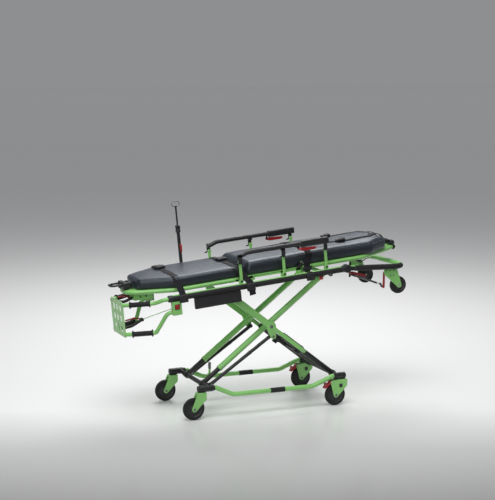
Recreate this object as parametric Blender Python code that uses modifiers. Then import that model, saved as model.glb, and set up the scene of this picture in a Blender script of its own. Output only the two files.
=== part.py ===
"""An ambulance cot: a telescoping X frame on casters, a three-section litter and a loading hoop.

+X points to the head end, +Y to the far side and +Z up. The floor is z = 0.
"""

import math

import bmesh
import bpy
from mathutils import Matrix, Vector

# Fits, in metres as all sizes here
GAP = 0.0003
RUN = 0.0003
FACE = 0.0006

# Facets of rounds
SIDES = 10
PIN_SIDES = 8
LARGEST_PIN = 0.0095
BENT_TUBE_SIDES = 10
WHEEL_STEPS = 16

# Casters
WHEEL_DIAMETER = 0.150
WHEEL_WIDTH = 0.032
WHEEL_PLAY = 0.003
CASTER_TRAIL = 0.053
HALF_TRACK = 0.280
FOOT_STEM_X = -0.470
HEAD_STEM_X = 0.574
STEM_RADIUS = 0.008
STEM_DEPTH = 0.034
AXLE_RADIUS = 0.006
AXLE_BOSS = 0.018
CHEEK_THICKNESS = 0.005
BRIDGE_THICKNESS = 0.020
CHEEK_FRONT = 0.033
CHEEK_BACK = 0.030
CHEEK_DEPTH = 0.045
PEDAL_PIVOT_BACK = 0.084
PEDAL_PIVOT_DROP = 0.0175
PEDAL_EAR = 0.011
PEDAL_EYE = 0.008
PEDAL_LENGTH = 0.050
PEDAL_THICKNESS = 0.010
PEDAL_DROP = 0.036
PEDAL_PIN = 0.004

# Base frame
PIVOT_HEIGHT = 0.205
YOKE_RADIUS = 0.015
YOKE_BLOCK_RADIUS = 0.022
YOKE_BLOCK_END = 0.024
BASE_TUBE_RADIUS = 0.016
BASE_TUBE_HEIGHT = 0.148
BASE_RAMP_FOOT = 0.145
BASE_RAMP_HEAD = 0.170
BASE_TUBE_STUB = 0.022
BASE_BEND = 0.060
BUMP_POST_X = -0.190
BUMP_POST_RADIUS = 0.010
BUMP_POST_HEIGHT = 0.075

# X frame
FOOT_PIVOT_X = -0.410
HEAD_PIVOT_X = 0.545
CROSS_HEIGHT = 0.575
LEG_SLEEVE_RADIUS = 0.0225
LEG_SLEEVE_WIDTH = 0.036
LEG_A_Y = 0.146
LEG_A_RADIUS = 0.020
LEG_A_INNER_RADIUS = 0.016
LEG_A_SHOWN = 0.155
LEG_A_INSERT = 0.120
LEG_A_STROKE = 0.085
LEG_A_REACH = 0.550
ROLLER_RADIUS = 0.015
ROLLER_WIDTH = 0.018
ROLLER_SHAFT = 0.009
LEG_B_Y = 0.186
LEG_B_RADIUS = 0.018
LEG_B_TUBE = 0.350
LEG_B_REACH = 0.360
BAR_INNER_Y = 0.207
BAR_THICKNESS = 0.014
BAR_HALF_WIDTH = 0.0225
BAR_HEAD_RADIUS = 0.024
BRACKET_RADIUS = 0.034
TONGUE_LENGTH = 0.310
TONGUE_HALF_WIDTH = 0.014
GUIDE_LENGTH = 0.185
GUIDE_WALL = 0.0052
WEB_START = 0.090
WEB_END = 0.032
WEB_THICKNESS = 0.006
WEB_RISE = 0.014
SHROUD_START = 0.032
SHROUD_END = 0.250
SHROUD_EAR = 0.100
SHROUD_THICKNESS = 0.024
SHROUD_SIDE_GAP = 0.026
CROSS_BOLT_RADIUS = 0.014
CROSS_BOLT_HEAD = 0.006
STRUT_Y = 0.180
STRUT_RADIUS = 0.012
STRUT_FOOT_REACH = 0.048
STRUT_PIN = 0.006
STRUT_EYE = 0.013
STRUT_LUG_THICKNESS = 0.010
STRUT_LUG_ALONG = -0.054
STRUT_LUG_PERP = -0.045
STRUT_BOSS = 0.012

# Litter: u runs along the side rails to the head, w stands square to them, zero on the rail's axis
LITTER_TILT = math.radians(5.57)
RAIL_HEIGHT = 0.893
RAIL_Y = 0.281
RAIL_RADIUS = 0.021
RAIL_FOOT_U = -0.700
KNUCKLE_U = 0.605
KNUCKLE_RADIUS = 0.028
KNUCKLE_WIDTH = 0.022
KNUCKLE_PIN = 0.010
HEAD_CROSS_U = 0.430
HEAD_CROSS_W = 0.0
HEAD_CROSS_RADIUS = 0.013
LUG_THICKNESS = 0.008
LUG_RADIUS = 0.020
LITTER_PIN = 0.007
LUG_TAB = 0.070
TRACK_START_U = 0.470
TRACK_END_U = 0.715
TRACK_CLEARANCE = 0.013
TRACK_THICKNESS = 0.006
PANEL_FOOT_U = -0.520
PANEL_LENGTH = 0.330
PANEL_HEIGHT = 0.075
PANEL_THICKNESS = 0.022

# Sections of the bed
SEAT_FOOT_U = -0.118
SEAT_HEAD_U = 0.270
SEAT_DECK_W = 0.057
DECK_THICKNESS = 0.006
FLANGE_THICKNESS = 0.006
FLANGE_DROP = 0.012
SECTION_TUBE_RADIUS = 0.015
SECTION_HALF_WIDTH = 0.228
LEG_HINGE_U = -0.134
LEG_FRAME_W = 0.042
LEG_TAPER_U = -0.620
LEG_END_U = -0.905
LEG_END_HALF_WIDTH = 0.095
BACK_HINGE_U = 0.290
BACK_HINGE_W = 0.085
BACK_FRAME_W = 0.050
BACK_TAPER_U = 0.770
BACK_END_U = 1.090
BACK_END_HALF_WIDTH = 0.080
SECTION_BEND = 0.110
SECTION_PIN = 0.006
SECTION_EYE = 0.014
SECTION_EYE_WIDTH = 0.008
BACK_EAR_LENGTH = 0.080
LEG_EAR_LENGTH = 0.050
LEG_EAR_DEPTH = 0.030
ARM_LENGTH = 0.060
ARM_BELOW = 0.010
ARM_ABOVE = 0.008
ARM_BRIDGE_START = 0.012
ARM_BRIDGE_END = 0.058
ARM_BRIDGE_BELOW = 0.008
ARM_BRIDGE_ABOVE = 0.006
SHEET_INSET = 0.985
SHEET_START = 0.007
RELEASE_BOX_LENGTH = 0.130
RELEASE_BOX_WIDTH = 0.110
RELEASE_BOX_HEIGHT = 0.076
RELEASE_BOX_INSET = 0.045

# Mattress
MATTRESS_HALF_WIDTH = 0.243
MATTRESS_FOOT_U = -0.845
MATTRESS_FOOT_HALF_WIDTH = 0.118
MATTRESS_HEAD_U = 1.000
MATTRESS_HEAD_HALF_WIDTH = 0.140
MATTRESS_HEAD_TAPER_U = 0.830
MATTRESS_LEG_TOP = 0.138
MATTRESS_SEAT_TOP = 0.158
MATTRESS_BACK_TOP = 0.163
MATTRESS_CROWN = 0.010
MATTRESS_DRAW_IN = 0.008
MATTRESS_ROUND = 0.020
MATTRESS_JOINT = 0.004
LEG_NOTCH_ANGLE = math.radians(13)
BACK_NOTCH_ANGLE = math.radians(36)

# Foot-end handles
PLATE_U = -0.968
PLATE_THICKNESS = 0.005
PLATE_HALF_WIDTH = 0.130
PLATE_HEIGHT = 0.242
PLATE_CORNER = 0.030
SLOT_WIDTH = 0.020
SLOT_HEIGHT = 0.040
SLOT_PITCH_Y = 0.066
SLOT_PITCH_W = 0.068
HANDLE_RADIUS = 0.0135
HANDLE_BEND = 0.035
HANDLE_END_Y = 0.112
HANDLE_LEAD = 0.030
LOWER_HANDLE_LEAD = 0.020
LOWER_KNEE_INSET = 0.012
GRIP_START_U = -0.800
GRIP_START_Y = 0.205
GRIP_END_U = -0.925
GRIP_END_Y = 0.143
UPPER_GRIP_W = -0.025
LOWER_GRIP_W = -0.222
GRIP_RADIUS = 0.0185
GRIP_FLANGE = 0.022
GRIP_FLANGE_WIDTH = 0.010
BLOCK_U = -0.648
BLOCK_LENGTH = 0.062
BLOCK_HEIGHT = 0.090
BLOCK_WIDTH = 0.036
BUTTON_SIZE = 0.028
BUTTON_DEPTH = 0.010
BUTTON_PROUD = 0.005
BUTTON_DROP = 0.036
BRACE_RADIUS = 0.0025
RELEASE_GRIP_RADIUS = 0.010
RELEASE_BOW = 0.012
RELEASE_LEVER_RADIUS = 0.0055
RELEASE_EYE = 0.012
RELEASE_PIN = 0.0035
RELEASE_SPREAD = math.radians(13)
UPPER_RELEASE_LENGTH = 0.085
UPPER_RELEASE_Y = 0.020
LOWER_RELEASE_U = -0.815
LOWER_RELEASE_W = -0.160
LOWER_RELEASE_Y = 0.035
LOWER_RELEASE_DROP = 0.038
PULL_HANDLE_Y = 0.020
PULL_HANDLE_WIDTH = 0.080
PULL_HANDLE_REACH = 0.092
PULL_HANDLE_RADIUS = 0.007
PULL_HANDLE_BEND = 0.030
PULL_HANDLE_RISE = 0.050
PULL_POST_RADIUS = 0.011

# Guard rails
GUARD_POST_FOOT_U = -0.175
GUARD_POST_PITCH = 0.315
GUARD_PIVOT_W = 0.036
GUARD_POST_LENGTH = 0.130
GUARD_RAIL_W = 0.223
GUARD_RAIL_RADIUS = 0.015
GUARD_PIN = 0.005
GUARD_EYE = 0.0135
POST_HALF_WIDTH = 0.010
POST_THICKNESS = 0.010
POST_Y = 0.2795
STAND_THICKNESS = 0.012
GUARD_BRACKET_WIDTH = 0.010
GUARD_BRACKET_HALF = 0.013
GUARD_EAR_LOW = 0.020
GUARD_EAR_HIGH = 0.004
GUARD_COLLAR_LOW = 0.024
GUARD_COLLAR_HIGH = 0.006
GUARD_GRIP_LENGTH = 0.190
GUARD_GRIP_HEIGHT = 0.044
GUARD_GRIP_WIDTH = 0.034
GUARD_FOOT_BEND = 0.060
GUARD_FOOT_SLOPE = 0.060
TRIGGER_LENGTH = 0.125
TRIGGER_HEIGHT = 0.010
TRIGGER_WIDTH = 0.020
TRIGGER_TRAVEL_GAP = 0.012
TRIGGER_PIN = 0.002
HANGER_HALF = 0.006
HANGER_THICKNESS = 0.005
HANGER_LOW = 0.012
HANGER_HIGH = 0.004

# Infusion pole, on the far side
POLE_U = -0.390
POLE_RADIUS = 0.0115
POLE_LENGTH = 0.320
POLE_COLLAR_RADIUS = 0.017
POLE_COLLAR_LENGTH = 0.055
ROD_RADIUS = 0.006
ROD_SHOWN = 0.135
ROD_INSIDE = 0.170
HOOK_RADIUS = 0.016
HOOK_WIRE = 0.003

# Loading hoop
HOOP_DIP = math.radians(6.8)
HOOP_LENGTH = 0.470
HOOP_RADIUS = 0.018
HOOP_BEND = 0.110
HOOP_CHEEK_LENGTH = 0.060
WHEEL_PLATE_REACH = 0.300
WHEEL_PLATE_LENGTH = 0.098
WHEEL_PLATE_THICKNESS = 0.006
WHEEL_PLATE_Y = 0.265
LOADING_WHEEL_DIAMETER = 0.122
LOADING_WHEEL_WIDTH = 0.030
LOADING_AXLE_REACH = 0.424
LOADING_AXLE_DROP = 0.136
SAFETY_BAR_INSET = 0.004
SAFETY_BAR_DROP = 0.046
SAFETY_BAR_LENGTH = 0.100
SAFETY_ARM_THICKNESS = 0.006
SAFETY_ARM_HALF = 0.008
SAFETY_ROD = 0.005
SAFETY_PIN = 0.0035

NEAR_FAR = {"near": -1, "far": 1}

GREEN = ((0.24, 0.56, 0.15, 1), 0.38, 0.0)
BLACK_PAINT = ((0.018, 0.018, 0.02, 1), 0.42, 0.0)
RUBBER = ((0.02, 0.02, 0.022, 1), 0.75, 0.0)
PLASTIC = ((0.025, 0.025, 0.028, 1), 0.55, 0.0)
RED = ((0.50, 0.03, 0.03, 1), 0.40, 0.0)
VINYL = ((0.045, 0.05, 0.058, 1), 0.42, 0.0)
MATERIALS = {
    "green_paint": GREEN,
    "black_paint": BLACK_PAINT,
    "black_rubber": RUBBER,
    "black_plastic": PLASTIC,
    "red_plastic": RED,
    "black_vinyl": VINYL,
}


# Scene and shape helpers


def clear_scene():
    for obj in list(bpy.data.objects):
        bpy.data.objects.remove(obj, do_unlink=True)


def make_collection(name):
    collection = bpy.data.collections.new(name)
    bpy.context.scene.collection.children.link(collection)
    return collection


def make_material(name):
    colour, roughness, metallic = MATERIALS[name]
    material = bpy.data.materials.new(name)
    material.use_nodes = True
    shader = material.node_tree.nodes["Principled BSDF"]
    shader.inputs["Base Color"].default_value = colour
    shader.inputs["Roughness"].default_value = roughness
    shader.inputs["Metallic"].default_value = metallic
    return material


def facets(radius):
    return PIN_SIDES if radius < LARGEST_PIN else SIDES


def bore(radius, sides=None):
    """Radius of a faceted hole whose flats clear a round of this radius."""
    return (radius + RUN) / math.cos(math.pi / (sides or facets(radius)))


def flat(radius, sides=None):
    """Distance from a faceted rod's axis to its flats."""
    return radius * math.cos(math.pi / (sides or facets(radius)))


def sliding_bore(radius):
    """Radius of a faceted hole for a rod with the same facets that slides and never turns."""
    return radius + RUN / math.cos(math.pi / facets(radius))


def add_object(name, data):
    obj = bpy.data.objects.new(name, data)
    CUTTERS.objects.link(obj)
    return obj


def object_from(mesh_maker, name):
    """A new mesh object, filled by a function that works on its bmesh."""
    mesh = bpy.data.meshes.new(name)
    work = bmesh.new()
    mesh_maker(work)
    bmesh.ops.recalc_face_normals(work, faces=work.faces)
    work.to_mesh(mesh)
    work.free()
    return add_object(name, mesh)


def mesh_of(curve_object):
    """The curve object as a mesh object with its caps welded on."""
    graph = bpy.context.evaluated_depsgraph_get()
    mesh = bpy.data.meshes.new_from_object(curve_object.evaluated_get(graph))
    work = bmesh.new()
    work.from_mesh(mesh)
    bmesh.ops.remove_doubles(work, verts=work.verts, dist=1e-6)
    bmesh.ops.recalc_face_normals(work, faces=work.faces)
    work.to_mesh(mesh)
    work.free()
    result = add_object(curve_object.name, mesh)
    bpy.data.objects.remove(curve_object, do_unlink=True)
    return result


def rod(start, end, radius, sides=None):
    """A round bar between two points."""
    start, end = Vector(start), Vector(end)
    axis = end - start
    turn = Vector((0, 0, 1)).rotation_difference(axis).to_matrix().to_4x4()
    place = Matrix.Translation((start + end) / 2) @ turn

    def fill(work):
        bmesh.ops.create_cone(
            work,
            cap_ends=True,
            segments=sides or facets(radius),
            radius1=radius,
            radius2=radius,
            depth=axis.length,
            matrix=place,
        )

    return object_from(fill, "rod")


def block(low, high):
    """A box between two corners."""
    low, high = Vector(low), Vector(high)
    size = high - low

    def fill(work):
        made = bmesh.ops.create_cube(work, size=1)
        bmesh.ops.scale(work, vec=size, verts=made["verts"])
        bmesh.ops.translate(work, vec=(low + high) / 2, verts=made["verts"])

    return object_from(fill, "block")


def plate(outline, y_from, y_to):
    """A flat outline in x and z, extruded along y."""
    curve = bpy.data.curves.new("plate", "CURVE")
    curve.dimensions = "2D"
    curve.fill_mode = "BOTH"
    curve.extrude = abs(y_to - y_from) / 2
    spline = curve.splines.new("POLY")
    spline.points.add(len(outline) - 1)
    for point, (x, z) in zip(spline.points, outline):
        point.co = (x, z, 0, 1)
    spline.use_cyclic_u = True
    made = mesh_of(add_object("plate", curve))
    stand = Matrix.Translation((0, (y_from + y_to) / 2, 0)) @ Matrix.Rotation(math.pi / 2, 4, "X")
    made.data.transform(stand)
    return made


def lying_plate(outline, z_from, z_to):
    """A flat outline in x and y, extruded along z."""
    made = plate([(x, -y) for x, y in outline], z_from, z_to)
    made.data.transform(Matrix.Rotation(math.pi / 2, 4, "X"))
    return made


def tube(points, radius, sides=BENT_TUBE_SIDES):
    """A round tube through the points, with filled ends."""
    curve = bpy.data.curves.new("tube", "CURVE")
    curve.dimensions = "3D"
    curve.bevel_depth = radius
    curve.bevel_resolution = (sides - 4) // 2
    curve.use_fill_caps = True
    spline = curve.splines.new("POLY")
    spline.points.add(len(points) - 1)
    for point, place in zip(spline.points, points):
        point.co = (*place, 1)
    return mesh_of(add_object("tube", curve))


def turned(name, profile, steps):
    """A profile of (radius, y) points, closed on itself and turned about the Y axis."""
    mesh = bpy.data.meshes.new(name)
    ring = range(len(profile))
    edges = [(i, (i + 1) % len(profile)) for i in ring]
    mesh.from_pydata([(radius, y, 0) for radius, y in profile], edges, [])
    made = add_object(name, mesh)
    screw = made.modifiers.new("turn", "SCREW")
    screw.axis = "Y"
    screw.steps = steps
    screw.render_steps = steps
    screw.use_merge_vertices = True
    screw.merge_threshold = 1e-5
    screw.use_normal_calculate = True
    return made


def arc(centre, radius, start, end, steps):
    """Points of a circle's arc, with angles in degrees."""
    turns = [math.radians(start + (end - start) * i / steps) for i in range(steps + 1)]
    return [(centre[0] + radius * math.cos(t), centre[1] + radius * math.sin(t)) for t in turns]


def circle(centre, radius, steps=SIDES):
    return arc(centre, radius, 0, 360 * (steps - 1) / steps, steps - 1)


def rectangle(low, high):
    return [low, (high[0], low[1]), high, (low[0], high[1])]


def hull(points):
    """The convex outline round some points, anticlockwise."""
    points = sorted(set((round(x, 7), round(z, 7)) for x, z in points))

    def half(sequence):
        chain = []
        for p in sequence:
            while len(chain) > 1 and turn_of(chain[-2], chain[-1], p) <= 0:
                chain.pop()
            chain.append(p)
        return chain[:-1]

    return half(points) + half(points[::-1])


def turn_of(a, b, c):
    return (b[0] - a[0]) * (c[1] - a[1]) - (b[1] - a[1]) * (c[0] - a[0])


def rounded(points, radius, steps=3):
    """The path with each inner corner replaced by an arc of about this radius."""
    points = [Vector(p) for p in points]
    path = [points[0]]
    for before, corner, after in zip(points, points[1:], points[2:]):
        back, ahead = (before - corner).normalized(), (after - corner).normalized()
        half_angle = back.angle(ahead) / 2
        reach = min(radius / math.tan(half_angle), (before - corner).length / 2, (after - corner).length / 2)
        for i in range(steps + 1):
            t = i / steps
            near = corner + back * reach * (1 - t) ** 2 + ahead * reach * t**2
            path.append(near)
    path.append(points[-1])
    return path


def add_boolean(body, other, operation):
    modifier = body.modifiers.new(operation.lower(), "BOOLEAN")
    modifier.operation = operation
    modifier.solver = "EXACT"
    modifier.object = other


def part(name, material, parent, solids, cuts=()):
    """A named piece: the first solid, joined with the rest and then cut."""
    body = solids[0]
    body.name = name
    CUTTERS.objects.unlink(body)
    PARTS.objects.link(body)
    body.data.materials.clear()
    body.data.materials.append(SHADERS[material])
    for i, helper in enumerate([*solids[1:], *cuts]):
        helper.name = f"{name}_{'join' if i < len(solids) - 1 else 'cut'}_{i}"
        helper.hide_render = True
        helper.display_type = "WIRE"
        helper.parent = parent
        add_boolean(body, helper, "UNION" if i < len(solids) - 1 else "DIFFERENCE")
    body.parent = parent
    if body.type == "MESH" and not cuts and len(solids) == 1:
        body.data.shade_smooth()
        body.data.set_sharp_from_angle(angle=math.radians(35))
    return body


def joint_empty(name, parent, location, turn_y=0.0):
    """An empty on a joint's axis, turned about Y."""
    empty = bpy.data.objects.new(name, None)
    empty.empty_display_size = 0.03
    empty.location = location
    empty.rotation_euler = (0, turn_y, 0)
    empty.parent = parent
    PARTS.objects.link(empty)
    return empty


# Places worked out from the driving dimensions

WHEEL_RADIUS = WHEEL_DIAMETER / 2
CROSS_X = (FOOT_PIVOT_X + HEAD_PIVOT_X) / 2
LEG_RISE = CROSS_HEIGHT - PIVOT_HEIGHT
LEG_ANGLE = math.atan2(LEG_RISE, CROSS_X - FOOT_PIVOT_X)
LEG_LENGTH = math.hypot(LEG_RISE, CROSS_X - FOOT_PIVOT_X)
BAR_OUTER_Y = BAR_INNER_Y + BAR_THICKNESS
SAFETY_BAR_REACH = WHEEL_PLATE_REACH + SAFETY_BAR_INSET
GUARD_POST_U = [GUARD_POST_FOOT_U + GUARD_POST_PITCH * i for i in range(3)]


def to_litter(x, z):
    """A point of the side view, in the litter's u and w."""
    rise = z - RAIL_HEIGHT
    cosine, sine = math.cos(LITTER_TILT), math.sin(LITTER_TILT)
    return x * cosine + rise * sine, rise * cosine - x * sine


def leg_point(reach, towards):
    """A point beyond the crossing, on leg A (towards the head, 1) or leg B (the foot, -1)."""
    x = CROSS_X + towards * reach * math.cos(LEG_ANGLE)
    return x, CROSS_HEIGHT + reach * math.sin(LEG_ANGLE)


LITTER_PIVOT = to_litter(*leg_point(LEG_B_REACH, -1))
ROLLER_PLACE = to_litter(*leg_point(LEG_A_REACH, 1))

HOOP_END_U = KNUCKLE_U + (HOOP_LENGTH + HOOP_RADIUS) * math.cos(HOOP_DIP)
HOOP_END_W = -(HOOP_LENGTH + HOOP_RADIUS) * math.sin(HOOP_DIP)
PULL_HANDLE_W = LEG_FRAME_W + PULL_HANDLE_RISE
FOOT_REACH_U = LEG_END_U - PULL_HANDLE_REACH - PULL_HANDLE_RADIUS
COSINE, SINE = math.cos(LITTER_TILT), math.sin(LITTER_TILT)
FOOT_END_X = FOOT_REACH_U * COSINE - PULL_HANDLE_W * SINE
HEAD_END_X = max(
    HOOP_END_U * COSINE - HOOP_END_W * SINE,
    (BACK_END_U + SECTION_TUBE_RADIUS) * COSINE - BACK_FRAME_W * SINE,
)
MIDDLE_X = (FOOT_END_X + HEAD_END_X) / 2


# Casters


def make_caster(end, side, sign, root):
    stem_x = {"foot": FOOT_STEM_X, "head": HEAD_STEM_X}[end]
    swivel = joint_empty(f"caster_{end}_{side}_axis", root, (stem_x, sign * HALF_TRACK, 0))
    top = PIVOT_HEIGHT - YOKE_BLOCK_RADIUS - FACE
    cheek_inside = WHEEL_WIDTH / 2 + WHEEL_PLAY
    cheek_outside = cheek_inside + CHEEK_THICKNESS
    axle = (-CASTER_TRAIL, WHEEL_RADIUS)
    outline = rectangle((-CHEEK_BACK, top - CHEEK_DEPTH), (CHEEK_FRONT, top)) + circle(axle, AXLE_BOSS)
    hinge = (-PEDAL_PIVOT_BACK, top - PEDAL_PIVOT_DROP)
    if end == "head":
        outline += circle(hinge, PEDAL_EAR)
    outline = hull(outline)
    low = (-CHEEK_BACK + GAP, -cheek_outside + GAP, top - BRIDGE_THICKNESS)
    solids = [block(low, (CHEEK_FRONT - GAP, cheek_outside - GAP, top - GAP))]
    for cheek in (-1, 1):
        solids.append(plate(outline, cheek * cheek_inside, cheek * cheek_outside))
    ends = cheek_outside + CHEEK_THICKNESS / 2
    solids.append(rod((axle[0], -ends, axle[1]), (axle[0], ends, axle[1]), AXLE_RADIUS))
    solids.append(rod((0, 0, top - BRIDGE_THICKNESS / 2), (0, 0, top + STEM_DEPTH), STEM_RADIUS))
    if end == "head":
        solids.append(rod((hinge[0], -ends, hinge[1]), (hinge[0], ends, hinge[1]), PEDAL_PIN))
    part(f"caster_fork_{end}_{side}", "green_paint", swivel, solids)
    make_wheel(f"caster_wheel_{end}_{side}", swivel, axle, WHEEL_RADIUS, WHEEL_WIDTH, AXLE_RADIUS)
    if end == "head":
        make_pedal(side, swivel, hinge, cheek_inside - FACE)


def make_wheel(name, parent, axle, radius, width, pin):
    axis = joint_empty(f"{name}_axis", parent, (axle[0], 0, axle[1]))
    half = width / 2
    rim = radius * 0.80
    profile = [
        (radius, half * 0.45),
        (radius * 0.95, half * 0.88),
        (rim, half),
        (radius * 0.72, half * 0.72),
        (bore(pin, WHEEL_STEPS), half * 0.95),
    ]
    profile += [(r, -y) for r, y in reversed(profile)]
    part(name, "black_rubber", axis, [turned(name, profile, WHEEL_STEPS)])


def make_pedal(side, swivel, hinge, half):
    axis = joint_empty(f"brake_pedal_{side}_axis", swivel, (hinge[0], 0, hinge[1]))
    tip = (-PEDAL_LENGTH, -PEDAL_DROP)
    tread = plate(hull(circle((0, 0), PEDAL_EYE) + circle(tip, PEDAL_THICKNESS / 2)), -half, half)
    hole = rod((0, -2 * half, 0), (0, 2 * half, 0), bore(PEDAL_PIN))
    part(f"brake_pedal_{side}", "red_plastic", axis, [tread], [hole])


# Base frame


def yoke_span(pivot_x, stem_x):
    return min(pivot_x, stem_x) - YOKE_BLOCK_END, max(pivot_x, stem_x) + YOKE_BLOCK_END


def make_yoke(name, pivot_x, stem_x, root, extra=()):
    """A cross tube with an end block over each caster."""
    start, end = yoke_span(pivot_x, stem_x)
    z = PIVOT_HEIGHT
    solids = [rod((pivot_x, -HALF_TRACK, z), (pivot_x, HALF_TRACK, z), YOKE_RADIUS)]
    cuts = []
    for sign in NEAR_FAR.values():
        y = sign * HALF_TRACK
        solids.append(rod((start, y, z), (end, y, z), YOKE_BLOCK_RADIUS, 12))
        deep = z - YOKE_BLOCK_RADIUS + STEM_DEPTH + GAP
        cuts.append(rod((stem_x, y, z - 2 * YOKE_BLOCK_RADIUS), (stem_x, y, deep), bore(STEM_RADIUS)))
    part(name, "black_paint", root, [*solids, *extra], cuts)


def strut_lugs():
    """Ears of the foot yoke with the pins of the two struts."""
    solids = []
    lug_in = STRUT_Y + STRUT_RADIUS + FACE
    pin_x = FOOT_PIVOT_X + STRUT_FOOT_REACH
    outline = hull(
        circle((FOOT_PIVOT_X, PIVOT_HEIGHT), YOKE_RADIUS * 1.25) + circle((pin_x, PIVOT_HEIGHT), STRUT_EYE)
    )
    for sign in NEAR_FAR.values():
        solids.append(plate(outline, sign * lug_in, sign * (lug_in + STRUT_LUG_THICKNESS)))
        root_y = sign * (lug_in + STRUT_LUG_THICKNESS / 2)
        tip_y = sign * (STRUT_Y - STRUT_RADIUS)
        solids.append(rod((pin_x, root_y, PIVOT_HEIGHT), (pin_x, tip_y, PIVOT_HEIGHT), STRUT_PIN))
    return solids


def make_base_tube(side, sign, root):
    start = yoke_span(FOOT_PIVOT_X, FOOT_STEM_X)[1] + GAP
    end = yoke_span(HEAD_PIVOT_X, HEAD_STEM_X)[0] - GAP
    profile = [
        (start, PIVOT_HEIGHT),
        (start + BASE_TUBE_STUB, PIVOT_HEIGHT),
        (start + BASE_RAMP_FOOT, BASE_TUBE_HEIGHT),
        (end - BASE_RAMP_HEAD, BASE_TUBE_HEIGHT),
        (end - BASE_TUBE_STUB, PIVOT_HEIGHT),
        (end, PIVOT_HEIGHT),
    ]
    path = rounded([(x, sign * HALF_TRACK, z) for x, z in profile], BASE_BEND, 2)
    part(f"base_tube_{side}", "green_paint", root, [tube(path, BASE_TUBE_RADIUS)])


def make_bump_post(root):
    foot = BASE_TUBE_HEIGHT + flat(BASE_TUBE_RADIUS, BENT_TUBE_SIDES) + GAP
    shank = rod(
        (BUMP_POST_X, HALF_TRACK, foot), (BUMP_POST_X, HALF_TRACK, foot + BUMP_POST_HEIGHT), BUMP_POST_RADIUS * 0.7
    )
    cap = rod(
        (BUMP_POST_X, HALF_TRACK, foot + BUMP_POST_HEIGHT / 2),
        (BUMP_POST_X, HALF_TRACK, foot + BUMP_POST_HEIGHT + BUMP_POST_RADIUS),
        BUMP_POST_RADIUS,
    )
    part("bump_post", "black_rubber", root, [shank, cap])


# X frame: leg A runs along +x of its own frame, leg B along -x of its own


def make_leg_a(root):
    frame = joint_empty("leg_a_axis", root, (FOOT_PIVOT_X, 0, PIVOT_HEIGHT), -LEG_ANGLE)
    inner_end = LEG_A_SHOWN + LEG_A_INSERT
    for side, sign in NEAR_FAR.items():
        y = sign * LEG_A_Y
        inner = rod((LEG_SLEEVE_RADIUS / 2, y, 0), (inner_end, y, 0), LEG_A_INNER_RADIUS)
        half = LEG_SLEEVE_WIDTH / 2
        sleeve = rod((0, y - half, 0), (0, y + half, 0), LEG_SLEEVE_RADIUS, 16)
        hole = rod((0, y - 2 * half, 0), (0, y + 2 * half, 0), bore(YOKE_RADIUS))
        part(f"leg_a_lower_{side}", "black_paint", frame, [inner, sleeve], [hole])
    top = LEG_LENGTH + LEG_A_REACH
    roller_y = BAR_OUTER_Y + FACE * 8
    roller_end = roller_y + ROLLER_WIDTH
    solids = [rod((top, -roller_end, 0), (top, roller_end, 0), ROLLER_SHAFT)]
    cuts = []
    for sign in NEAR_FAR.values():
        y = sign * LEG_A_Y
        solids.append(rod((LEG_A_SHOWN, y, 0), (top + ROLLER_SHAFT * 1.4, y, 0), LEG_A_RADIUS))
        solids.append(rod((top, sign * roller_y, 0), (top, sign * (roller_end - GAP), 0), ROLLER_RADIUS))
        deep = inner_end + LEG_A_STROKE
        cuts.append(rod((0, y, 0), (deep, y, 0), sliding_bore(LEG_A_INNER_RADIUS)))
    part("leg_a_upper", "green_paint", frame, solids, cuts)


def make_leg_b_lower(frame):
    shroud_half = SHROUD_THICKNESS / 2
    ear_y = LEG_B_Y - LEG_B_RADIUS / 3
    solids = [block((-SHROUD_EAR, -ear_y, -shroud_half), (-SHROUD_START, ear_y, shroud_half))]
    narrow = LEG_B_Y - SHROUD_SIDE_GAP
    shelf = shroud_half - GAP
    solids.append(block((-SHROUD_END, -narrow, -shelf), (-SHROUD_START * 1.2, narrow, shelf)))
    cuts = []
    for sign in NEAR_FAR.values():
        y = sign * LEG_B_Y
        half = LEG_SLEEVE_WIDTH / 2
        solids.append(rod((-LEG_SLEEVE_RADIUS / 2, y, 0), (-LEG_B_TUBE, y, 0), LEG_B_RADIUS))
        solids.append(rod((0, y - half, 0), (0, y + half, 0), LEG_SLEEVE_RADIUS, 16))
        cuts.append(rod((0, y - 2 * half, 0), (0, y + 2 * half, 0), bore(YOKE_RADIUS)))
    part("leg_b_lower", "black_paint", frame, solids, cuts)


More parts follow.
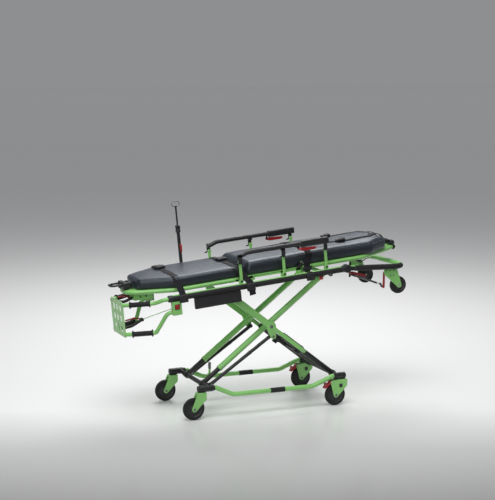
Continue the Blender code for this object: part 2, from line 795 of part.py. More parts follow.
def make_leg_b_upper(frame):
    """Side bars with a web above the crossing and tongues that slide along the lower tubes."""
    cross = -LEG_LENGTH
    head = cross - LEG_B_REACH
    lug = (cross - STRUT_LUG_ALONG, STRUT_LUG_PERP)
    tongue_end = cross + TONGUE_LENGTH
    bar = hull(circle((cross, 0), BAR_HALF_WIDTH) + circle((head, 0), BAR_HEAD_RADIUS, 16))
    bracket = hull(circle((cross, 0), BRACKET_RADIUS, 16) + circle(lug, STRUT_EYE * 1.5))
    tongue = hull(circle((cross, 0), TONGUE_HALF_WIDTH) + circle((tongue_end, 0), TONGUE_HALF_WIDTH))
    web_y = BAR_INNER_Y + BAR_THICKNESS / 3
    web_low = WEB_RISE
    solids = [
        block((head + WEB_END, -web_y, web_low), (cross - WEB_START, web_y, web_low + WEB_THICKNESS)),
    ]
    cuts = []
    for sign in NEAR_FAR.values():
        inner, outer = sign * BAR_INNER_Y, sign * BAR_OUTER_Y
        step = sign * GAP * 2
        solids.append(plate(bar, inner, outer))
        solids.append(plate(bracket, inner - step, outer + step))
        solids.append(plate(tongue, inner + step, outer - step))
        bolt_end = sign * (BAR_OUTER_Y + CROSS_BOLT_HEAD)
        solids.append(rod((cross, inner + step * 3, 0), (cross, bolt_end, 0), CROSS_BOLT_RADIUS, 8))
        boss_in = sign * (STRUT_Y + STRUT_RADIUS + FACE)
        solids.append(rod((lug[0], boss_in, lug[1]), (lug[0], inner + step * 3, lug[1]), STRUT_BOSS))
        y = sign * LEG_B_Y
        guide = tongue_end - GUIDE_WALL
        guide_radius = max(LEG_B_RADIUS + GUIDE_WALL, BAR_INNER_Y - LEG_B_Y + GUIDE_WALL / 2)
        solids.append(rod((guide - GUIDE_LENGTH, y, 0), (guide, y, 0), guide_radius))
        cuts.append(rod((cross, y, 0), (guide + GUIDE_LENGTH, y, 0), bore(LEG_B_RADIUS)))
        cuts.append(rod((head, inner - step * 9, 0), (head, outer + step * 9, 0), bore(LITTER_PIN)))
    part("leg_b_upper", "green_paint", frame, solids, cuts)


def make_struts(root):
    foot = Vector((FOOT_PIVOT_X + STRUT_FOOT_REACH, PIVOT_HEIGHT))
    along = Vector((-math.cos(LEG_ANGLE), math.sin(LEG_ANGLE)))
    square = Vector((math.sin(LEG_ANGLE), math.cos(LEG_ANGLE)))
    lug = Vector((CROSS_X, CROSS_HEIGHT)) + STRUT_LUG_ALONG * along + STRUT_LUG_PERP * square
    run = lug - foot
    frame = joint_empty("strut_axis", root, (foot.x, 0, foot.y), -math.atan2(run.y, run.x))
    length = run.length
    for side, sign in NEAR_FAR.items():
        y = sign * STRUT_Y
        bar = rod((STRUT_EYE / 2, y, 0), (length, y, 0), STRUT_RADIUS)
        eye_half = STRUT_RADIUS * 0.92
        eyes = [rod((x, y - eye_half, 0), (x, y + eye_half, 0), STRUT_EYE) for x in (0, length)]
        hole = rod((0, y - 2 * STRUT_RADIUS, 0), (0, y + 2 * STRUT_RADIUS, 0), bore(STRUT_PIN))
        part(f"strut_{side}", "black_paint", frame, [bar, *eyes], [hole])


# Litter


def pivot_stand(u, sign):
    """An upright on the rail with a pin for a post that turns about Y."""
    inner = sign * (POST_Y - POST_THICKNESS / 2 - FACE - STAND_THICKNESS)
    face = sign * (POST_Y - POST_THICKNESS / 2 - FACE)
    tip = sign * (POST_Y + POST_THICKNESS / 2 + FACE)
    outline = hull(
        circle((u, GUARD_PIVOT_W), GUARD_EYE)
        + rectangle((u - GUARD_EYE, RAIL_RADIUS / 3), (u + GUARD_EYE, RAIL_RADIUS))
    )
    pin = rod((u, (inner + face) / 2, GUARD_PIVOT_W), (u, tip, GUARD_PIVOT_W), GUARD_PIN)
    return [plate(outline, inner, face), pin]


def litter_lug(sign):
    """The hanger on the rail that leg B's bar turns on."""
    u, w = LITTER_PIVOT
    inner = BAR_OUTER_Y + FACE * 4
    outline = hull(
        circle((u, w), LUG_RADIUS) + rectangle((u - LUG_TAB / 2, -RAIL_RADIUS / 2), (u + LUG_TAB / 2, RAIL_RADIUS / 4))
    )
    hanger = plate(outline, sign * inner, sign * (inner + LUG_THICKNESS))
    tab_low = (u - LUG_TAB / 2 + GAP, min(sign * (inner + GAP), sign * RAIL_Y), -RAIL_RADIUS / 3)
    tab_high = (u + LUG_TAB / 2 - GAP, max(sign * (inner + GAP), sign * RAIL_Y), RAIL_RADIUS / 5)
    pin_in = sign * (BAR_INNER_Y - FACE * 4)
    pin = rod((u, pin_in, w), (u, sign * (inner + LUG_THICKNESS / 2), w), LITTER_PIN)
    return [hanger, block(tab_low, tab_high), pin]


def roller_track(sign):
    """The flat over leg A's roller, welded to the inside of the rail."""
    low = ROLLER_PLACE[1] + ROLLER_RADIUS + TRACK_CLEARANCE
    inner = BAR_OUTER_Y + FACE * 4
    outer = RAIL_Y - RAIL_RADIUS * 0.9
    ys = sorted((sign * inner, sign * outer))
    flat = block((TRACK_START_U, ys[0], low), (TRACK_END_U, ys[1], low + TRACK_THICKNESS))
    wall_ys = sorted((sign * (RAIL_Y - RAIL_RADIUS * 1.15), sign * (RAIL_Y - RAIL_RADIUS * 0.6)))
    wall_low = min(low + GAP, -RAIL_RADIUS / 2)
    wall_high = max(low + TRACK_THICKNESS - GAP, RAIL_RADIUS / 2)
    wall = block((TRACK_START_U + GAP, wall_ys[0], wall_low), (KNUCKLE_U, wall_ys[1], wall_high))
    return [flat, wall]


def make_side_rail(side, sign, litter):
    y = sign * RAIL_Y
    solids = [rod((RAIL_FOOT_U, y, 0), (KNUCKLE_U, y, 0), RAIL_RADIUS, 16)]
    split = sign * (RAIL_Y - GAP)
    hub_in = sign * (RAIL_Y - KNUCKLE_WIDTH)
    solids.append(rod((KNUCKLE_U, hub_in, 0), (KNUCKLE_U, split, 0), KNUCKLE_RADIUS, 16))
    pin_end = sign * (RAIL_Y + KNUCKLE_WIDTH + FACE)
    solids.append(rod((KNUCKLE_U, hub_in + sign * FACE, 0), (KNUCKLE_U, pin_end, 0), KNUCKLE_PIN))
    for u in GUARD_POST_U:
        solids += pivot_stand(u, sign)
    if side == "far":
        solids += pivot_stand(POLE_U, sign)
    solids += litter_lug(sign)
    solids += roller_track(sign)
    clear = 2 * KNUCKLE_RADIUS
    outer = sorted((sign * (RAIL_Y + GAP), sign * (RAIL_Y + clear)))
    beyond = block((KNUCKLE_U - KNUCKLE_RADIUS - FACE, outer[0], -clear), (KNUCKLE_U + clear, outer[1], clear))
    pin_again = solids.pop(2)
    rail = part(f"side_rail_{side}", "black_paint", litter, solids, [beyond])
    pin_again.name = f"side_rail_{side}_pin"
    pin_again.hide_render = True
    pin_again.display_type = "WIRE"
    pin_again.parent = litter
    add_boolean(rail, pin_again, "UNION")


def make_head_cross(litter):
    end = RAIL_Y - RAIL_RADIUS - GAP
    bar = rod((HEAD_CROSS_U, -end, HEAD_CROSS_W), (HEAD_CROSS_U, end, HEAD_CROSS_W), HEAD_CROSS_RADIUS)
    part("head_cross_tube", "green_paint", litter, [bar])


def make_side_panel(litter):
    top = -RAIL_RADIUS - GAP
    half = PANEL_THICKNESS / 2
    panel = block(
        (PANEL_FOOT_U, -RAIL_Y - half, top - PANEL_HEIGHT), (PANEL_FOOT_U + PANEL_LENGTH, -RAIL_Y + half, top)
    )
    body = part("side_panel", "black_plastic", litter, [panel])
    soften = body.modifiers.new("edges", "BEVEL")
    soften.width = PANEL_THICKNESS / 8
    soften.segments = 1


def section_pin(u, w, sign, face, reach):
    """A hinge pin that points inwards from a face at y = face."""
    return rod((u, sign * (face + FACE * 3), w), (u, sign * (face - reach), w), SECTION_PIN)


def make_seat_deck(litter):
    outer = RAIL_Y - RAIL_RADIUS - GAP
    inner = outer - FLANGE_THICKNESS
    low = SEAT_DECK_W - DECK_THICKNESS
    solids = [block((SEAT_FOOT_U, -outer + GAP, low), (SEAT_HEAD_U, outer - GAP, SEAT_DECK_W))]
    foot_flange = rectangle((SEAT_FOOT_U + GAP, -FLANGE_DROP), (SEAT_HEAD_U - GAP, SEAT_DECK_W - GAP))
    back_ear = hull(
        circle((BACK_HINGE_U, BACK_HINGE_W), SECTION_EYE)
        + rectangle((SEAT_HEAD_U - BACK_EAR_LENGTH, SEAT_DECK_W - DECK_THICKNESS), (SEAT_HEAD_U - GAP, SEAT_DECK_W - FACE))
    )
    leg_ear = hull(
        circle((LEG_HINGE_U, LEG_FRAME_W), SECTION_EYE)
        + rectangle(
            (SEAT_FOOT_U + GAP, SEAT_DECK_W - LEG_EAR_DEPTH), (SEAT_FOOT_U + LEG_EAR_LENGTH, SEAT_DECK_W - FACE)
        )
    )
    eye_reach = FLANGE_THICKNESS + FACE * 2 + SECTION_EYE_WIDTH
    for sign in NEAR_FAR.values():
        solids.append(plate(foot_flange, sign * inner, sign * outer))
        solids.append(plate(back_ear, sign * (inner + GAP), sign * (outer - GAP)))
        solids.append(plate(leg_ear, sign * (inner + GAP), sign * (outer - GAP)))
        solids.append(section_pin(BACK_HINGE_U, BACK_HINGE_W, sign, outer - FACE * 4, eye_reach))
        solids.append(section_pin(LEG_HINGE_U, LEG_FRAME_W, sign, outer - FACE * 4, eye_reach))
    part("seat_deck", "green_paint", litter, solids)


def eye_span(sign):
    """The y limits of a section's hinge eye, just inside the seat deck's flange."""
    outer = RAIL_Y - RAIL_RADIUS - GAP - FLANGE_THICKNESS - FACE
    return sign * (outer - SECTION_EYE_WIDTH), sign * outer


def section_loop(start, taper, end, end_half):
    """The plan outline of a bed section's tube, from its near hinge to its far one."""
    corner = end - (end - taper) * 0.12
    half = [(start, SECTION_HALF_WIDTH), (taper, SECTION_HALF_WIDTH), (corner, end_half), (end, end_half * 0.6)]
    return [(u, -v) for u, v in half] + [(u, v) for u, v in reversed(half)]


def make_section(name, parent, hinge, frame_w, start, taper, end, end_half, extra=()):
    """A bed section: a bent tube, a deck sheet inside it and two hinge eyes."""
    hinge_u, hinge_w = hinge
    loop = section_loop(start - hinge_u, taper - hinge_u, end - hinge_u, end_half)
    w = frame_w - hinge_w
    path = rounded([(u, v, w) for u, v in loop], SECTION_BEND)
    solids = [tube(path, SECTION_TUBE_RADIUS)]
    step = 1 if start > hinge_u else -1
    sheet = [(p.x, p.y * SHEET_INSET) for p in path]
    sheet[0] = (sheet[0][0] + step * SHEET_START, sheet[0][1])
    sheet[-1] = (sheet[-1][0] + step * SHEET_START, sheet[-1][1])
    sheet_low = w + SECTION_TUBE_RADIUS - DECK_THICKNESS
    solids.append(lying_plate(sheet, sheet_low, sheet_low + DECK_THICKNESS))
    cuts = []
    for sign in NEAR_FAR.values():
        inside, outside = eye_span(sign)
        root_u = start - hinge_u
        arm_us = sorted((root_u, root_u + step * ARM_LENGTH))
        arm = hull(circle((0, 0), SECTION_EYE) + rectangle((arm_us[0], w - ARM_BELOW), (arm_us[1], w + ARM_ABOVE)))
        solids.append(plate(arm, inside, outside))
        bridge = sorted((sign * SECTION_HALF_WIDTH, outside - sign * GAP))
        us = sorted((root_u + step * ARM_BRIDGE_START, root_u + step * ARM_BRIDGE_END))
        low = (us[0], bridge[0], w - ARM_BRIDGE_BELOW)
        solids.append(block(low, (us[1], bridge[1], w + ARM_BRIDGE_ABOVE)))
        past = sign * SECTION_EYE
        cuts.append(rod((0, inside - past, 0), (0, outside + past, 0), bore(SECTION_PIN)))
    part(name, "green_paint", parent, [*solids, *extra], cuts)


def release_box_top(hinge):
    """Halfway up the deck sheet of the leg section."""
    return LEG_FRAME_W - hinge[1] + SECTION_TUBE_RADIUS - DECK_THICKNESS / 2


def release_box(hinge):
    """The housing under the leg section's foot end that holds the squeeze release."""
    u = LEG_END_U + RELEASE_BOX_INSET - hinge[0]
    top = release_box_top(hinge)
    half = RELEASE_BOX_WIDTH / 2
    return block((u, -half, top - RELEASE_BOX_HEIGHT), (u + RELEASE_BOX_LENGTH, half, top))


def make_leg_section(litter):
    hinge = (LEG_HINGE_U, LEG_FRAME_W)
    axis = joint_empty("leg_section_axis", litter, (hinge[0], 0, hinge[1]))
    start = LEG_HINGE_U - SECTION_EYE - FACE
    box = release_box(hinge)
    make_section(
        "leg_frame", axis, hinge, LEG_FRAME_W, start, LEG_TAPER_U, LEG_END_U, LEG_END_HALF_WIDTH, [box]
    )
    make_pull_handle(axis, hinge)
    make_upper_release(axis, hinge)
    bottom = LEG_FRAME_W + SECTION_TUBE_RADIUS + GAP
    ends = (MATTRESS_FOOT_U, LEG_HINGE_U - MATTRESS_JOINT)
    widths = [
        (MATTRESS_FOOT_U, MATTRESS_FOOT_HALF_WIDTH),
        (LEG_TAPER_U, MATTRESS_HALF_WIDTH),
        (LEG_HINGE_U, MATTRESS_HALF_WIDTH),
    ]
    notch = (0, LEG_NOTCH_ANGLE)
    make_cushion("mattress_leg", axis, hinge, ends, widths, bottom, MATTRESS_LEG_TOP, notch)


def make_back_section(litter):
    hinge = (BACK_HINGE_U, BACK_HINGE_W)
    axis = joint_empty("back_section_axis", litter, (hinge[0], 0, hinge[1]))
    start = BACK_HINGE_U + SECTION_EYE + FACE
    make_section(
        "back_frame", axis, hinge, BACK_FRAME_W, start, BACK_TAPER_U, BACK_END_U, BACK_END_HALF_WIDTH
    )
    bottom = BACK_FRAME_W + SECTION_TUBE_RADIUS + GAP
    ends = (BACK_HINGE_U + MATTRESS_JOINT, MATTRESS_HEAD_U)
    widths = [
        (BACK_HINGE_U, MATTRESS_HALF_WIDTH),
        (MATTRESS_HEAD_TAPER_U, MATTRESS_HALF_WIDTH),
        (MATTRESS_HEAD_U, MATTRESS_HEAD_HALF_WIDTH),
    ]
    notch = (BACK_NOTCH_ANGLE, 0)
    make_cushion("mattress_back", axis, hinge, ends, widths, bottom, MATTRESS_BACK_TOP, notch)


def make_seat_cushion(litter):
    ends = (LEG_HINGE_U + MATTRESS_JOINT, BACK_HINGE_U - MATTRESS_JOINT)
    widths = [(LEG_HINGE_U, MATTRESS_HALF_WIDTH), (BACK_HINGE_U, MATTRESS_HALF_WIDTH)]
    notch = (LEG_NOTCH_ANGLE, BACK_NOTCH_ANGLE)
    bottom = SEAT_DECK_W + GAP
    make_cushion("mattress_seat", litter, (0, 0), ends, widths, bottom, MATTRESS_SEAT_TOP, notch)


def width_at(widths, u):
    for (u0, half0), (u1, half1) in zip(widths, widths[1:]):
        if u <= u1:
            t = max(0.0, (u - u0) / (u1 - u0))
            return half0 + (half1 - half0) * t
    return widths[-1][1]


def make_cushion(name, parent, hinge, ends, widths, bottom, top, notch):
    """A crowned cushion with drawn-in sides: a divided cube, shaped by a formula.

    An end that meets a fold leans back by the notch angle above the fold's axis.
    """
    across, along, up = 6, 10, 4
    fold_w = {"mattress_leg": LEG_FRAME_W, "mattress_back": BACK_HINGE_W}.get(name)
    fold_ws = (fold_w or LEG_FRAME_W, fold_w or BACK_HINGE_W)

    def spread(t):
        """From 0 to 1, with points gathered at both ends."""
        return 0.5 - 0.5 * math.cos(math.pi * t)

    def fill(work):
        bmesh.ops.create_grid(work, x_segments=along, y_segments=across, size=0.5)
        base = bmesh.ops.extrude_face_region(work, geom=work.faces[:])
        lifted = [v for v in base["geom"] if isinstance(v, bmesh.types.BMVert)]
        bmesh.ops.translate(work, vec=(0, 0, 1), verts=lifted)
        upright = [e for e in work.edges if abs(e.verts[0].co.z - e.verts[1].co.z) > 0.5]
        bmesh.ops.subdivide_edges(work, edges=upright, cuts=up - 1, use_grid_fill=True)
        for vertex in work.verts:
            vertex.co = shape(vertex.co.x + 0.5, vertex.co.y * 2, vertex.co.z)

    def shape(s, t, h):
        s, h = spread(s), spread(h)
        t = math.copysign(math.sin(abs(t) * math.pi / 2), t)
        lean = [
            max(0.0, bottom + h * (top - bottom) - fold) * math.tan(angle)
            for fold, angle in zip(fold_ws, notch)
        ]
        low_u, high_u = ends[0] + lean[0], ends[1] - lean[1]
        swell = (1 - abs(2 * s - 1) ** 6) ** (1 / 3)
        bulge = 4 * h * (1 - h)
        inset = MATTRESS_DRAW_IN * (1 - bulge) + MATTRESS_ROUND * abs(2 * h - 1) ** 6
        u = low_u + (high_u - low_u) * s
        round_end = MATTRESS_ROUND * abs(2 * h - 1) ** 6
        u += round_end * ((1 - s) ** 8 - s**8)
        half = width_at(widths, u) - inset - MATTRESS_DRAW_IN * (1 - swell)
        crown = MATTRESS_CROWN * (1 - t * t) * swell if h > 0.5 else 0.0
        w = bottom + h * (top - MATTRESS_CROWN - bottom) + crown * (2 * h - 1)
        return Vector((u - hinge[0], half * t, w - hinge[1]))

    part(name, "black_vinyl", parent, [object_from(fill, name)])


# Foot end


def handle_line(grip_w, sign):
    """The straight stretch of a handle that its grip sits on, from the rail side to the plate side."""
    return (GRIP_START_U, sign * GRIP_START_Y, grip_w), (GRIP_END_U, sign * GRIP_END_Y, grip_w)


def make_handle_frame(litter):
    """The foot plate with its four handle tubes and the two release blocks under the rails."""
    outer = PLATE_U + PLATE_THICKNESS
    corners = hull(
        circle((-PLATE_HALF_WIDTH + PLATE_CORNER, -PLATE_CORNER), PLATE_CORNER, 16)
        + circle((PLATE_HALF_WIDTH - PLATE_CORNER, -PLATE_CORNER), PLATE_CORNER, 16)
        + rectangle((-PLATE_HALF_WIDTH, -PLATE_HEIGHT), (PLATE_HALF_WIDTH, -PLATE_HEIGHT + PLATE_CORNER))
    )
    sheet = plate(corners, 0, PLATE_THICKNESS)
    sheet.data.transform(Matrix.Translation((outer, 0, 0)) @ Matrix.Rotation(math.pi / 2, 4, "Z"))
    solids, cuts = [sheet], []
    middle = -PLATE_HEIGHT / 2
    for column in (-1, 0, 1):
        for row in (-1, 0, 1):
            y, w = column * SLOT_PITCH_Y, middle + row * SLOT_PITCH_W
            cuts.append(
                block(
                    (PLATE_U - PLATE_THICKNESS, y - SLOT_WIDTH / 2, w - SLOT_HEIGHT / 2),
                    (outer + PLATE_THICKNESS, y + SLOT_WIDTH / 2, w + SLOT_HEIGHT / 2),
                )
            )
    inside = PLATE_U + PLATE_THICKNESS / 2
    for sign in NEAR_FAR.values():
        start, end = handle_line(UPPER_GRIP_W, sign)
        plate_end = (inside, sign * HANDLE_END_Y, UPPER_GRIP_W)
        rail_end = (RAIL_FOOT_U - GAP, sign * RAIL_Y, 0)
        knee = (RAIL_FOOT_U - HANDLE_LEAD, sign * RAIL_Y, 0)
        turn = extend(end, start, HANDLE_LEAD)
        upper = rounded([rail_end, knee, turn, start, end, plate_end], HANDLE_BEND, 2)
        start, end = handle_line(LOWER_GRIP_W, sign)
        plate_end = (inside, sign * HANDLE_END_Y, LOWER_GRIP_W)
        block_w = -RAIL_RADIUS - BLOCK_HEIGHT + HANDLE_RADIUS * 1.4
        block_end = (BLOCK_U, sign * RAIL_Y, block_w)
        knee = (BLOCK_U - BLOCK_LENGTH / 2 - HANDLE_LEAD, sign * (RAIL_Y - LOWER_KNEE_INSET), block_w)
        turn = extend(end, start, LOWER_HANDLE_LEAD)
        lower = rounded([block_end, knee, turn, start, end, plate_end], HANDLE_BEND, 2)
        half = BLOCK_WIDTH / 2
        ys = sorted((sign * (RAIL_Y - half), sign * (RAIL_Y + half)))
        top = -RAIL_RADIUS - GAP
        low = (BLOCK_U - BLOCK_LENGTH / 2, ys[0], top - BLOCK_HEIGHT)
        housing = block(low, (BLOCK_U + BLOCK_LENGTH / 2, ys[1], top))
        solids += [tube(upper, HANDLE_RADIUS), tube(lower, HANDLE_RADIUS), housing]
        cuts.append(button_box(sign, BUTTON_SIZE / 2 + FACE, BUTTON_DEPTH + FACE, BUTTON_DEPTH))
    start = (BLOCK_U - BLOCK_LENGTH / 3, -RAIL_Y + BLOCK_WIDTH / 3, -RAIL_RADIUS - BLOCK_HEIGHT / 2)
    release = Vector((LOWER_RELEASE_U, -LOWER_RELEASE_Y, LOWER_RELEASE_W))
    away = (Vector(start) - release).normalized()
    solids.append(rod(start, release + away * (RELEASE_EYE + FACE * 8), BRACE_RADIUS, 6))
    part("handle_frame", "green_paint", litter, solids, cuts)


def extend(origin, through, distance):
    """The point this far beyond `through`, on the line from origin."""
    origin, through = Vector(origin), Vector(through)
    return through + (through - origin).normalized() * distance


def button_box(sign, half, depth, proud):
    """A square box at a release block's outer face."""
    w = -RAIL_RADIUS - BUTTON_DROP
    face = RAIL_Y + BLOCK_WIDTH / 2
    ys = sorted((sign * (face - depth), sign * (face + proud)))
    return block((BLOCK_U - half, ys[0], w - half), (BLOCK_U + half, ys[1], w + half))


def make_buttons(litter):
    for side, sign in NEAR_FAR.items():
        box = button_box(sign, BUTTON_SIZE / 2, BUTTON_DEPTH - BUTTON_PROUD, BUTTON_PROUD)
        part(f"release_button_{side}", "red_plastic", litter, [box])


def make_grips(litter):
    for level, grip_w in (("upper", UPPER_GRIP_W), ("lower", LOWER_GRIP_W)):
        for side, sign in NEAR_FAR.items():
            start, end = (Vector(p) for p in handle_line(grip_w, sign))
            run = (end - start).normalized()
            first, last = start + run * GRIP_FLANGE_WIDTH / 2, end - run * GRIP_FLANGE_WIDTH / 2
            sleeve = rod(first, last, GRIP_RADIUS)
            flange = rod(start, start + run * GRIP_FLANGE_WIDTH, GRIP_FLANGE)
            stop = rod(end - run * GRIP_FLANGE_WIDTH, end, GRIP_FLANGE)
            past = run * GRIP_FLANGE_WIDTH
            hole = rod(start - past, end + past, bore(HANDLE_RADIUS))
            part(f"grip_{level}_{side}", "black_plastic", litter, [sleeve, flange, stop], [hole])


def make_release(level, litter, pivot, grip_end, lever_turn, lever_length):
    """A fixed grip and a sprung lever that turn about Y at the grip's inner end."""
    pivot, grip_end = Vector(pivot), Vector(grip_end)
    y = pivot.y
    eye = RELEASE_GRIP_RADIUS + FACE * 2
    ear = 2 * RELEASE_LEVER_RADIUS
    belly = (pivot + grip_end) / 2 - Vector((0, 0, RELEASE_BOW))
    bar = tube(rounded([pivot, belly, grip_end], RELEASE_EYE * 6), RELEASE_GRIP_RADIUS)
    lug = rod((pivot.x, y - eye, pivot.z), (pivot.x, y + eye, pivot.z), RELEASE_EYE)
    pin = rod(
        (pivot.x, y + eye / 2, pivot.z), (pivot.x, y + eye + FACE * 2 + ear, pivot.z), RELEASE_PIN
    )
    part(f"{level}_release_grip", "black_plastic", litter, [bar, lug, pin])
    axis = joint_empty(f"{level}_release_lever_axis", litter, pivot)
    lane = eye + FACE
    ring = rod((0, lane, 0), (0, lane + ear, 0), RELEASE_EYE * 0.8)
    reach = lever_length
    tip = (-reach * math.cos(lever_turn), lane + ear / 2, reach * math.sin(lever_turn))
    bend = (-reach * 0.35 * math.cos(lever_turn * 1.6), lane + ear / 2, reach * 0.35 * math.sin(lever_turn * 1.6))
    lever = tube(rounded([(0, lane + ear / 2, 0), bend, tip], RELEASE_EYE * 6), RELEASE_LEVER_RADIUS - GAP, 8)
    hole = rod((0, lane - ear, 0), (0, lane + 2 * ear, 0), bore(RELEASE_PIN))
    part(f"{level}_release_lever", "red_plastic", axis, [ring, lever], [hole])


def make_upper_release(axis, hinge):
    box_u = LEG_END_U + RELEASE_BOX_INSET - hinge[0]
    w = release_box_top(hinge) - RELEASE_BOX_HEIGHT * 0.8
    pivot = (box_u - flat(RELEASE_EYE) - GAP, -UPPER_RELEASE_Y, w)
    end = (pivot[0] - UPPER_RELEASE_LENGTH, -UPPER_RELEASE_Y, w - RELEASE_GRIP_RADIUS)
    make_release("upper", axis, pivot, end, RELEASE_SPREAD, UPPER_RELEASE_LENGTH)


def make_lower_release(litter):
    pivot = (LOWER_RELEASE_U, -LOWER_RELEASE_Y, LOWER_RELEASE_W)
    end = (PLATE_U + PLATE_THICKNESS + RELEASE_GRIP_RADIUS * 0.3, -LOWER_RELEASE_Y, LOWER_RELEASE_W - LOWER_RELEASE_DROP)
    length = (LOWER_RELEASE_U - PLATE_U) * 0.72
    make_release("lower", litter, pivot, end, RELEASE_SPREAD / 3, length)


def make_pull_handle(axis, hinge):
    """The loop at the leg section's foot end, on two short posts."""
    w = LEG_FRAME_W - hinge[1]
    top = w + PULL_HANDLE_RISE
    foot = w + SECTION_TUBE_RADIUS + GAP
    inner = LEG_END_U - hinge[0] + SECTION_TUBE_RADIUS * 2.4
    outer = LEG_END_U - hinge[0] - PULL_HANDLE_REACH
    near, far = PULL_HANDLE_Y - PULL_HANDLE_WIDTH / 2, PULL_HANDLE_Y + PULL_HANDLE_WIDTH / 2
    path = rounded(
        [(inner, near, top), (outer, near, top), (outer, far, top), (inner, far, top)], PULL_HANDLE_BEND
    )
    loop = tube(path, PULL_HANDLE_RADIUS, 8)
    post_top = top + PULL_HANDLE_RADIUS * 1.3
    posts = [rod((inner, y, foot), (inner, y, post_top), PULL_POST_RADIUS) for y in (near, far)]
    part("foot_pull_handle", "black_plastic", axis, [loop, *posts])


# Guard rails


def make_guard(side, sign, litter):
    for number, u in enumerate(GUARD_POST_U, 1):
        axis = joint_empty(f"guard_post_{side}_{number}_axis", litter, (u, 0, GUARD_PIVOT_W))
        inner = sign * (POST_Y - POST_THICKNESS / 2)
        outer = sign * (POST_Y + POST_THICKNESS / 2)
        step = sign * GAP
        shank = plate(
            rectangle((-POST_HALF_WIDTH, 0), (POST_HALF_WIDTH, GUARD_POST_LENGTH)), inner + step, outer - step
        )
        eyes = [rod((0, inner, w), (0, outer, w), GUARD_EYE) for w in (0, GUARD_POST_LENGTH)]
        holes = [
            rod((0, inner - step * 20, w), (0, outer + step * 20, w), bore(GUARD_PIN, 8), 8)
            for w in (0, GUARD_POST_LENGTH)
        ]
        part(f"guard_post_{side}_{number}", "green_paint", axis, [shank, *eyes], holes)
    make_guard_rail(side, sign, litter)


def make_guard_rail(side, sign, litter):
    """The top rail: bent down at the foot, with a grip block at the head and a bracket for each post."""
    y = sign * POST_Y
    pivot_w = GUARD_PIVOT_W + GUARD_POST_LENGTH
    first, last = GUARD_POST_U[0], GUARD_POST_U[-1]
    grip_start = last + GUARD_BRACKET_HALF - GUARD_GRIP_LENGTH
    bracket_in = sign * (POST_Y + POST_THICKNESS / 2 + FACE)
    bracket_out = sign * (POST_Y + POST_THICKNESS / 2 + FACE + GUARD_BRACKET_WIDTH)
    bend_low = pivot_w + GUARD_EYE + GUARD_RAIL_RADIUS + FACE * 4
    foot_end = (first - GUARD_BRACKET_HALF, y, bend_low)
    knee = (first + GUARD_FOOT_SLOPE, y, GUARD_RAIL_W)
    path = rounded([foot_end, knee, (grip_start + GUARD_RAIL_RADIUS, y, GUARD_RAIL_W)], GUARD_FOOT_BEND)
    solids = [tube(path, GUARD_RAIL_RADIUS, SIDES)]
    half = GUARD_GRIP_WIDTH / 2
    grip_top = GUARD_RAIL_W + GUARD_GRIP_HEIGHT * 0.45
    grip_end = last + GUARD_BRACKET_HALF + GUARD_RAIL_RADIUS
    solids.append(block((grip_start, y - half, grip_top - GUARD_GRIP_HEIGHT), (grip_end, y + half, grip_top)))
    for u in GUARD_POST_U:
        ear = hull(
            circle((u, pivot_w), GUARD_BRACKET_HALF)
            + rectangle(
                (u - GUARD_BRACKET_HALF, GUARD_RAIL_W - GUARD_EAR_LOW),
                (u + GUARD_BRACKET_HALF, GUARD_RAIL_W - GUARD_EAR_HIGH),
            )
        )
        solids.append(plate(ear, bracket_in, bracket_out))
        pin_tip = sign * (POST_Y - POST_THICKNESS / 2 - FACE)
        solids.append(rod((u, (bracket_in + bracket_out) / 2, pivot_w), (u, pin_tip, pivot_w), GUARD_PIN))
        collar = sorted((y - sign * GUARD_RAIL_RADIUS * 0.8, bracket_out - sign * GAP))
        low = max(pivot_w + GUARD_EYE + FACE * 4, GUARD_RAIL_W - GUARD_COLLAR_LOW)
        solids.append(
            block(
                (u - GUARD_BRACKET_HALF + GAP, collar[0], low),
                (u + GUARD_BRACKET_HALF - GAP, collar[1], GUARD_RAIL_W - GUARD_COLLAR_HIGH),
            )
        )
    hinge = (grip_start - GUARD_RAIL_RADIUS, grip_top - GUARD_GRIP_HEIGHT - TRIGGER_TRAVEL_GAP)
    hanger = hull(
        circle(hinge, TRIGGER_HEIGHT * 0.6)
        + rectangle(
            (hinge[0] - HANGER_HALF, GUARD_RAIL_W - HANGER_LOW), (hinge[0] + HANGER_HALF, GUARD_RAIL_W - HANGER_HIGH)
        )
    )
    lane = TRIGGER_WIDTH / 2
    hanger_in = lane + FACE
    solids.append(plate(hanger, y - sign * (hanger_in + HANGER_THICKNESS), y - sign * hanger_in))
    pin_root = y - sign * (hanger_in + HANGER_THICKNESS / 2)
    solids.append(rod((hinge[0], pin_root, hinge[1]), (hinge[0], y + sign * lane, hinge[1]), TRIGGER_PIN))
    part(f"guard_rail_{side}", "black_plastic", litter, solids)
    make_trigger(side, y, hinge, litter)


def make_trigger(side, y, hinge, litter):
    """The red squeeze lever under the guard rail's grip."""
    axis = joint_empty(f"guard_trigger_{side}_axis", litter, (hinge[0], y, hinge[1]))
    half = TRIGGER_WIDTH / 2
    outline = hull(
        circle((0, 0), TRIGGER_HEIGHT / 2) + rectangle((TRIGGER_LENGTH * 0.9, -TRIGGER_HEIGHT / 2), (TRIGGER_LENGTH, 0))
    )
    lever = plate(outline, -half, half)
    hole = rod((0, -2 * half, 0), (0, 2 * half, 0), bore(TRIGGER_PIN))
    part(f"guard_trigger_{side}", "red_plastic", axis, [lever], [hole])


# Infusion pole


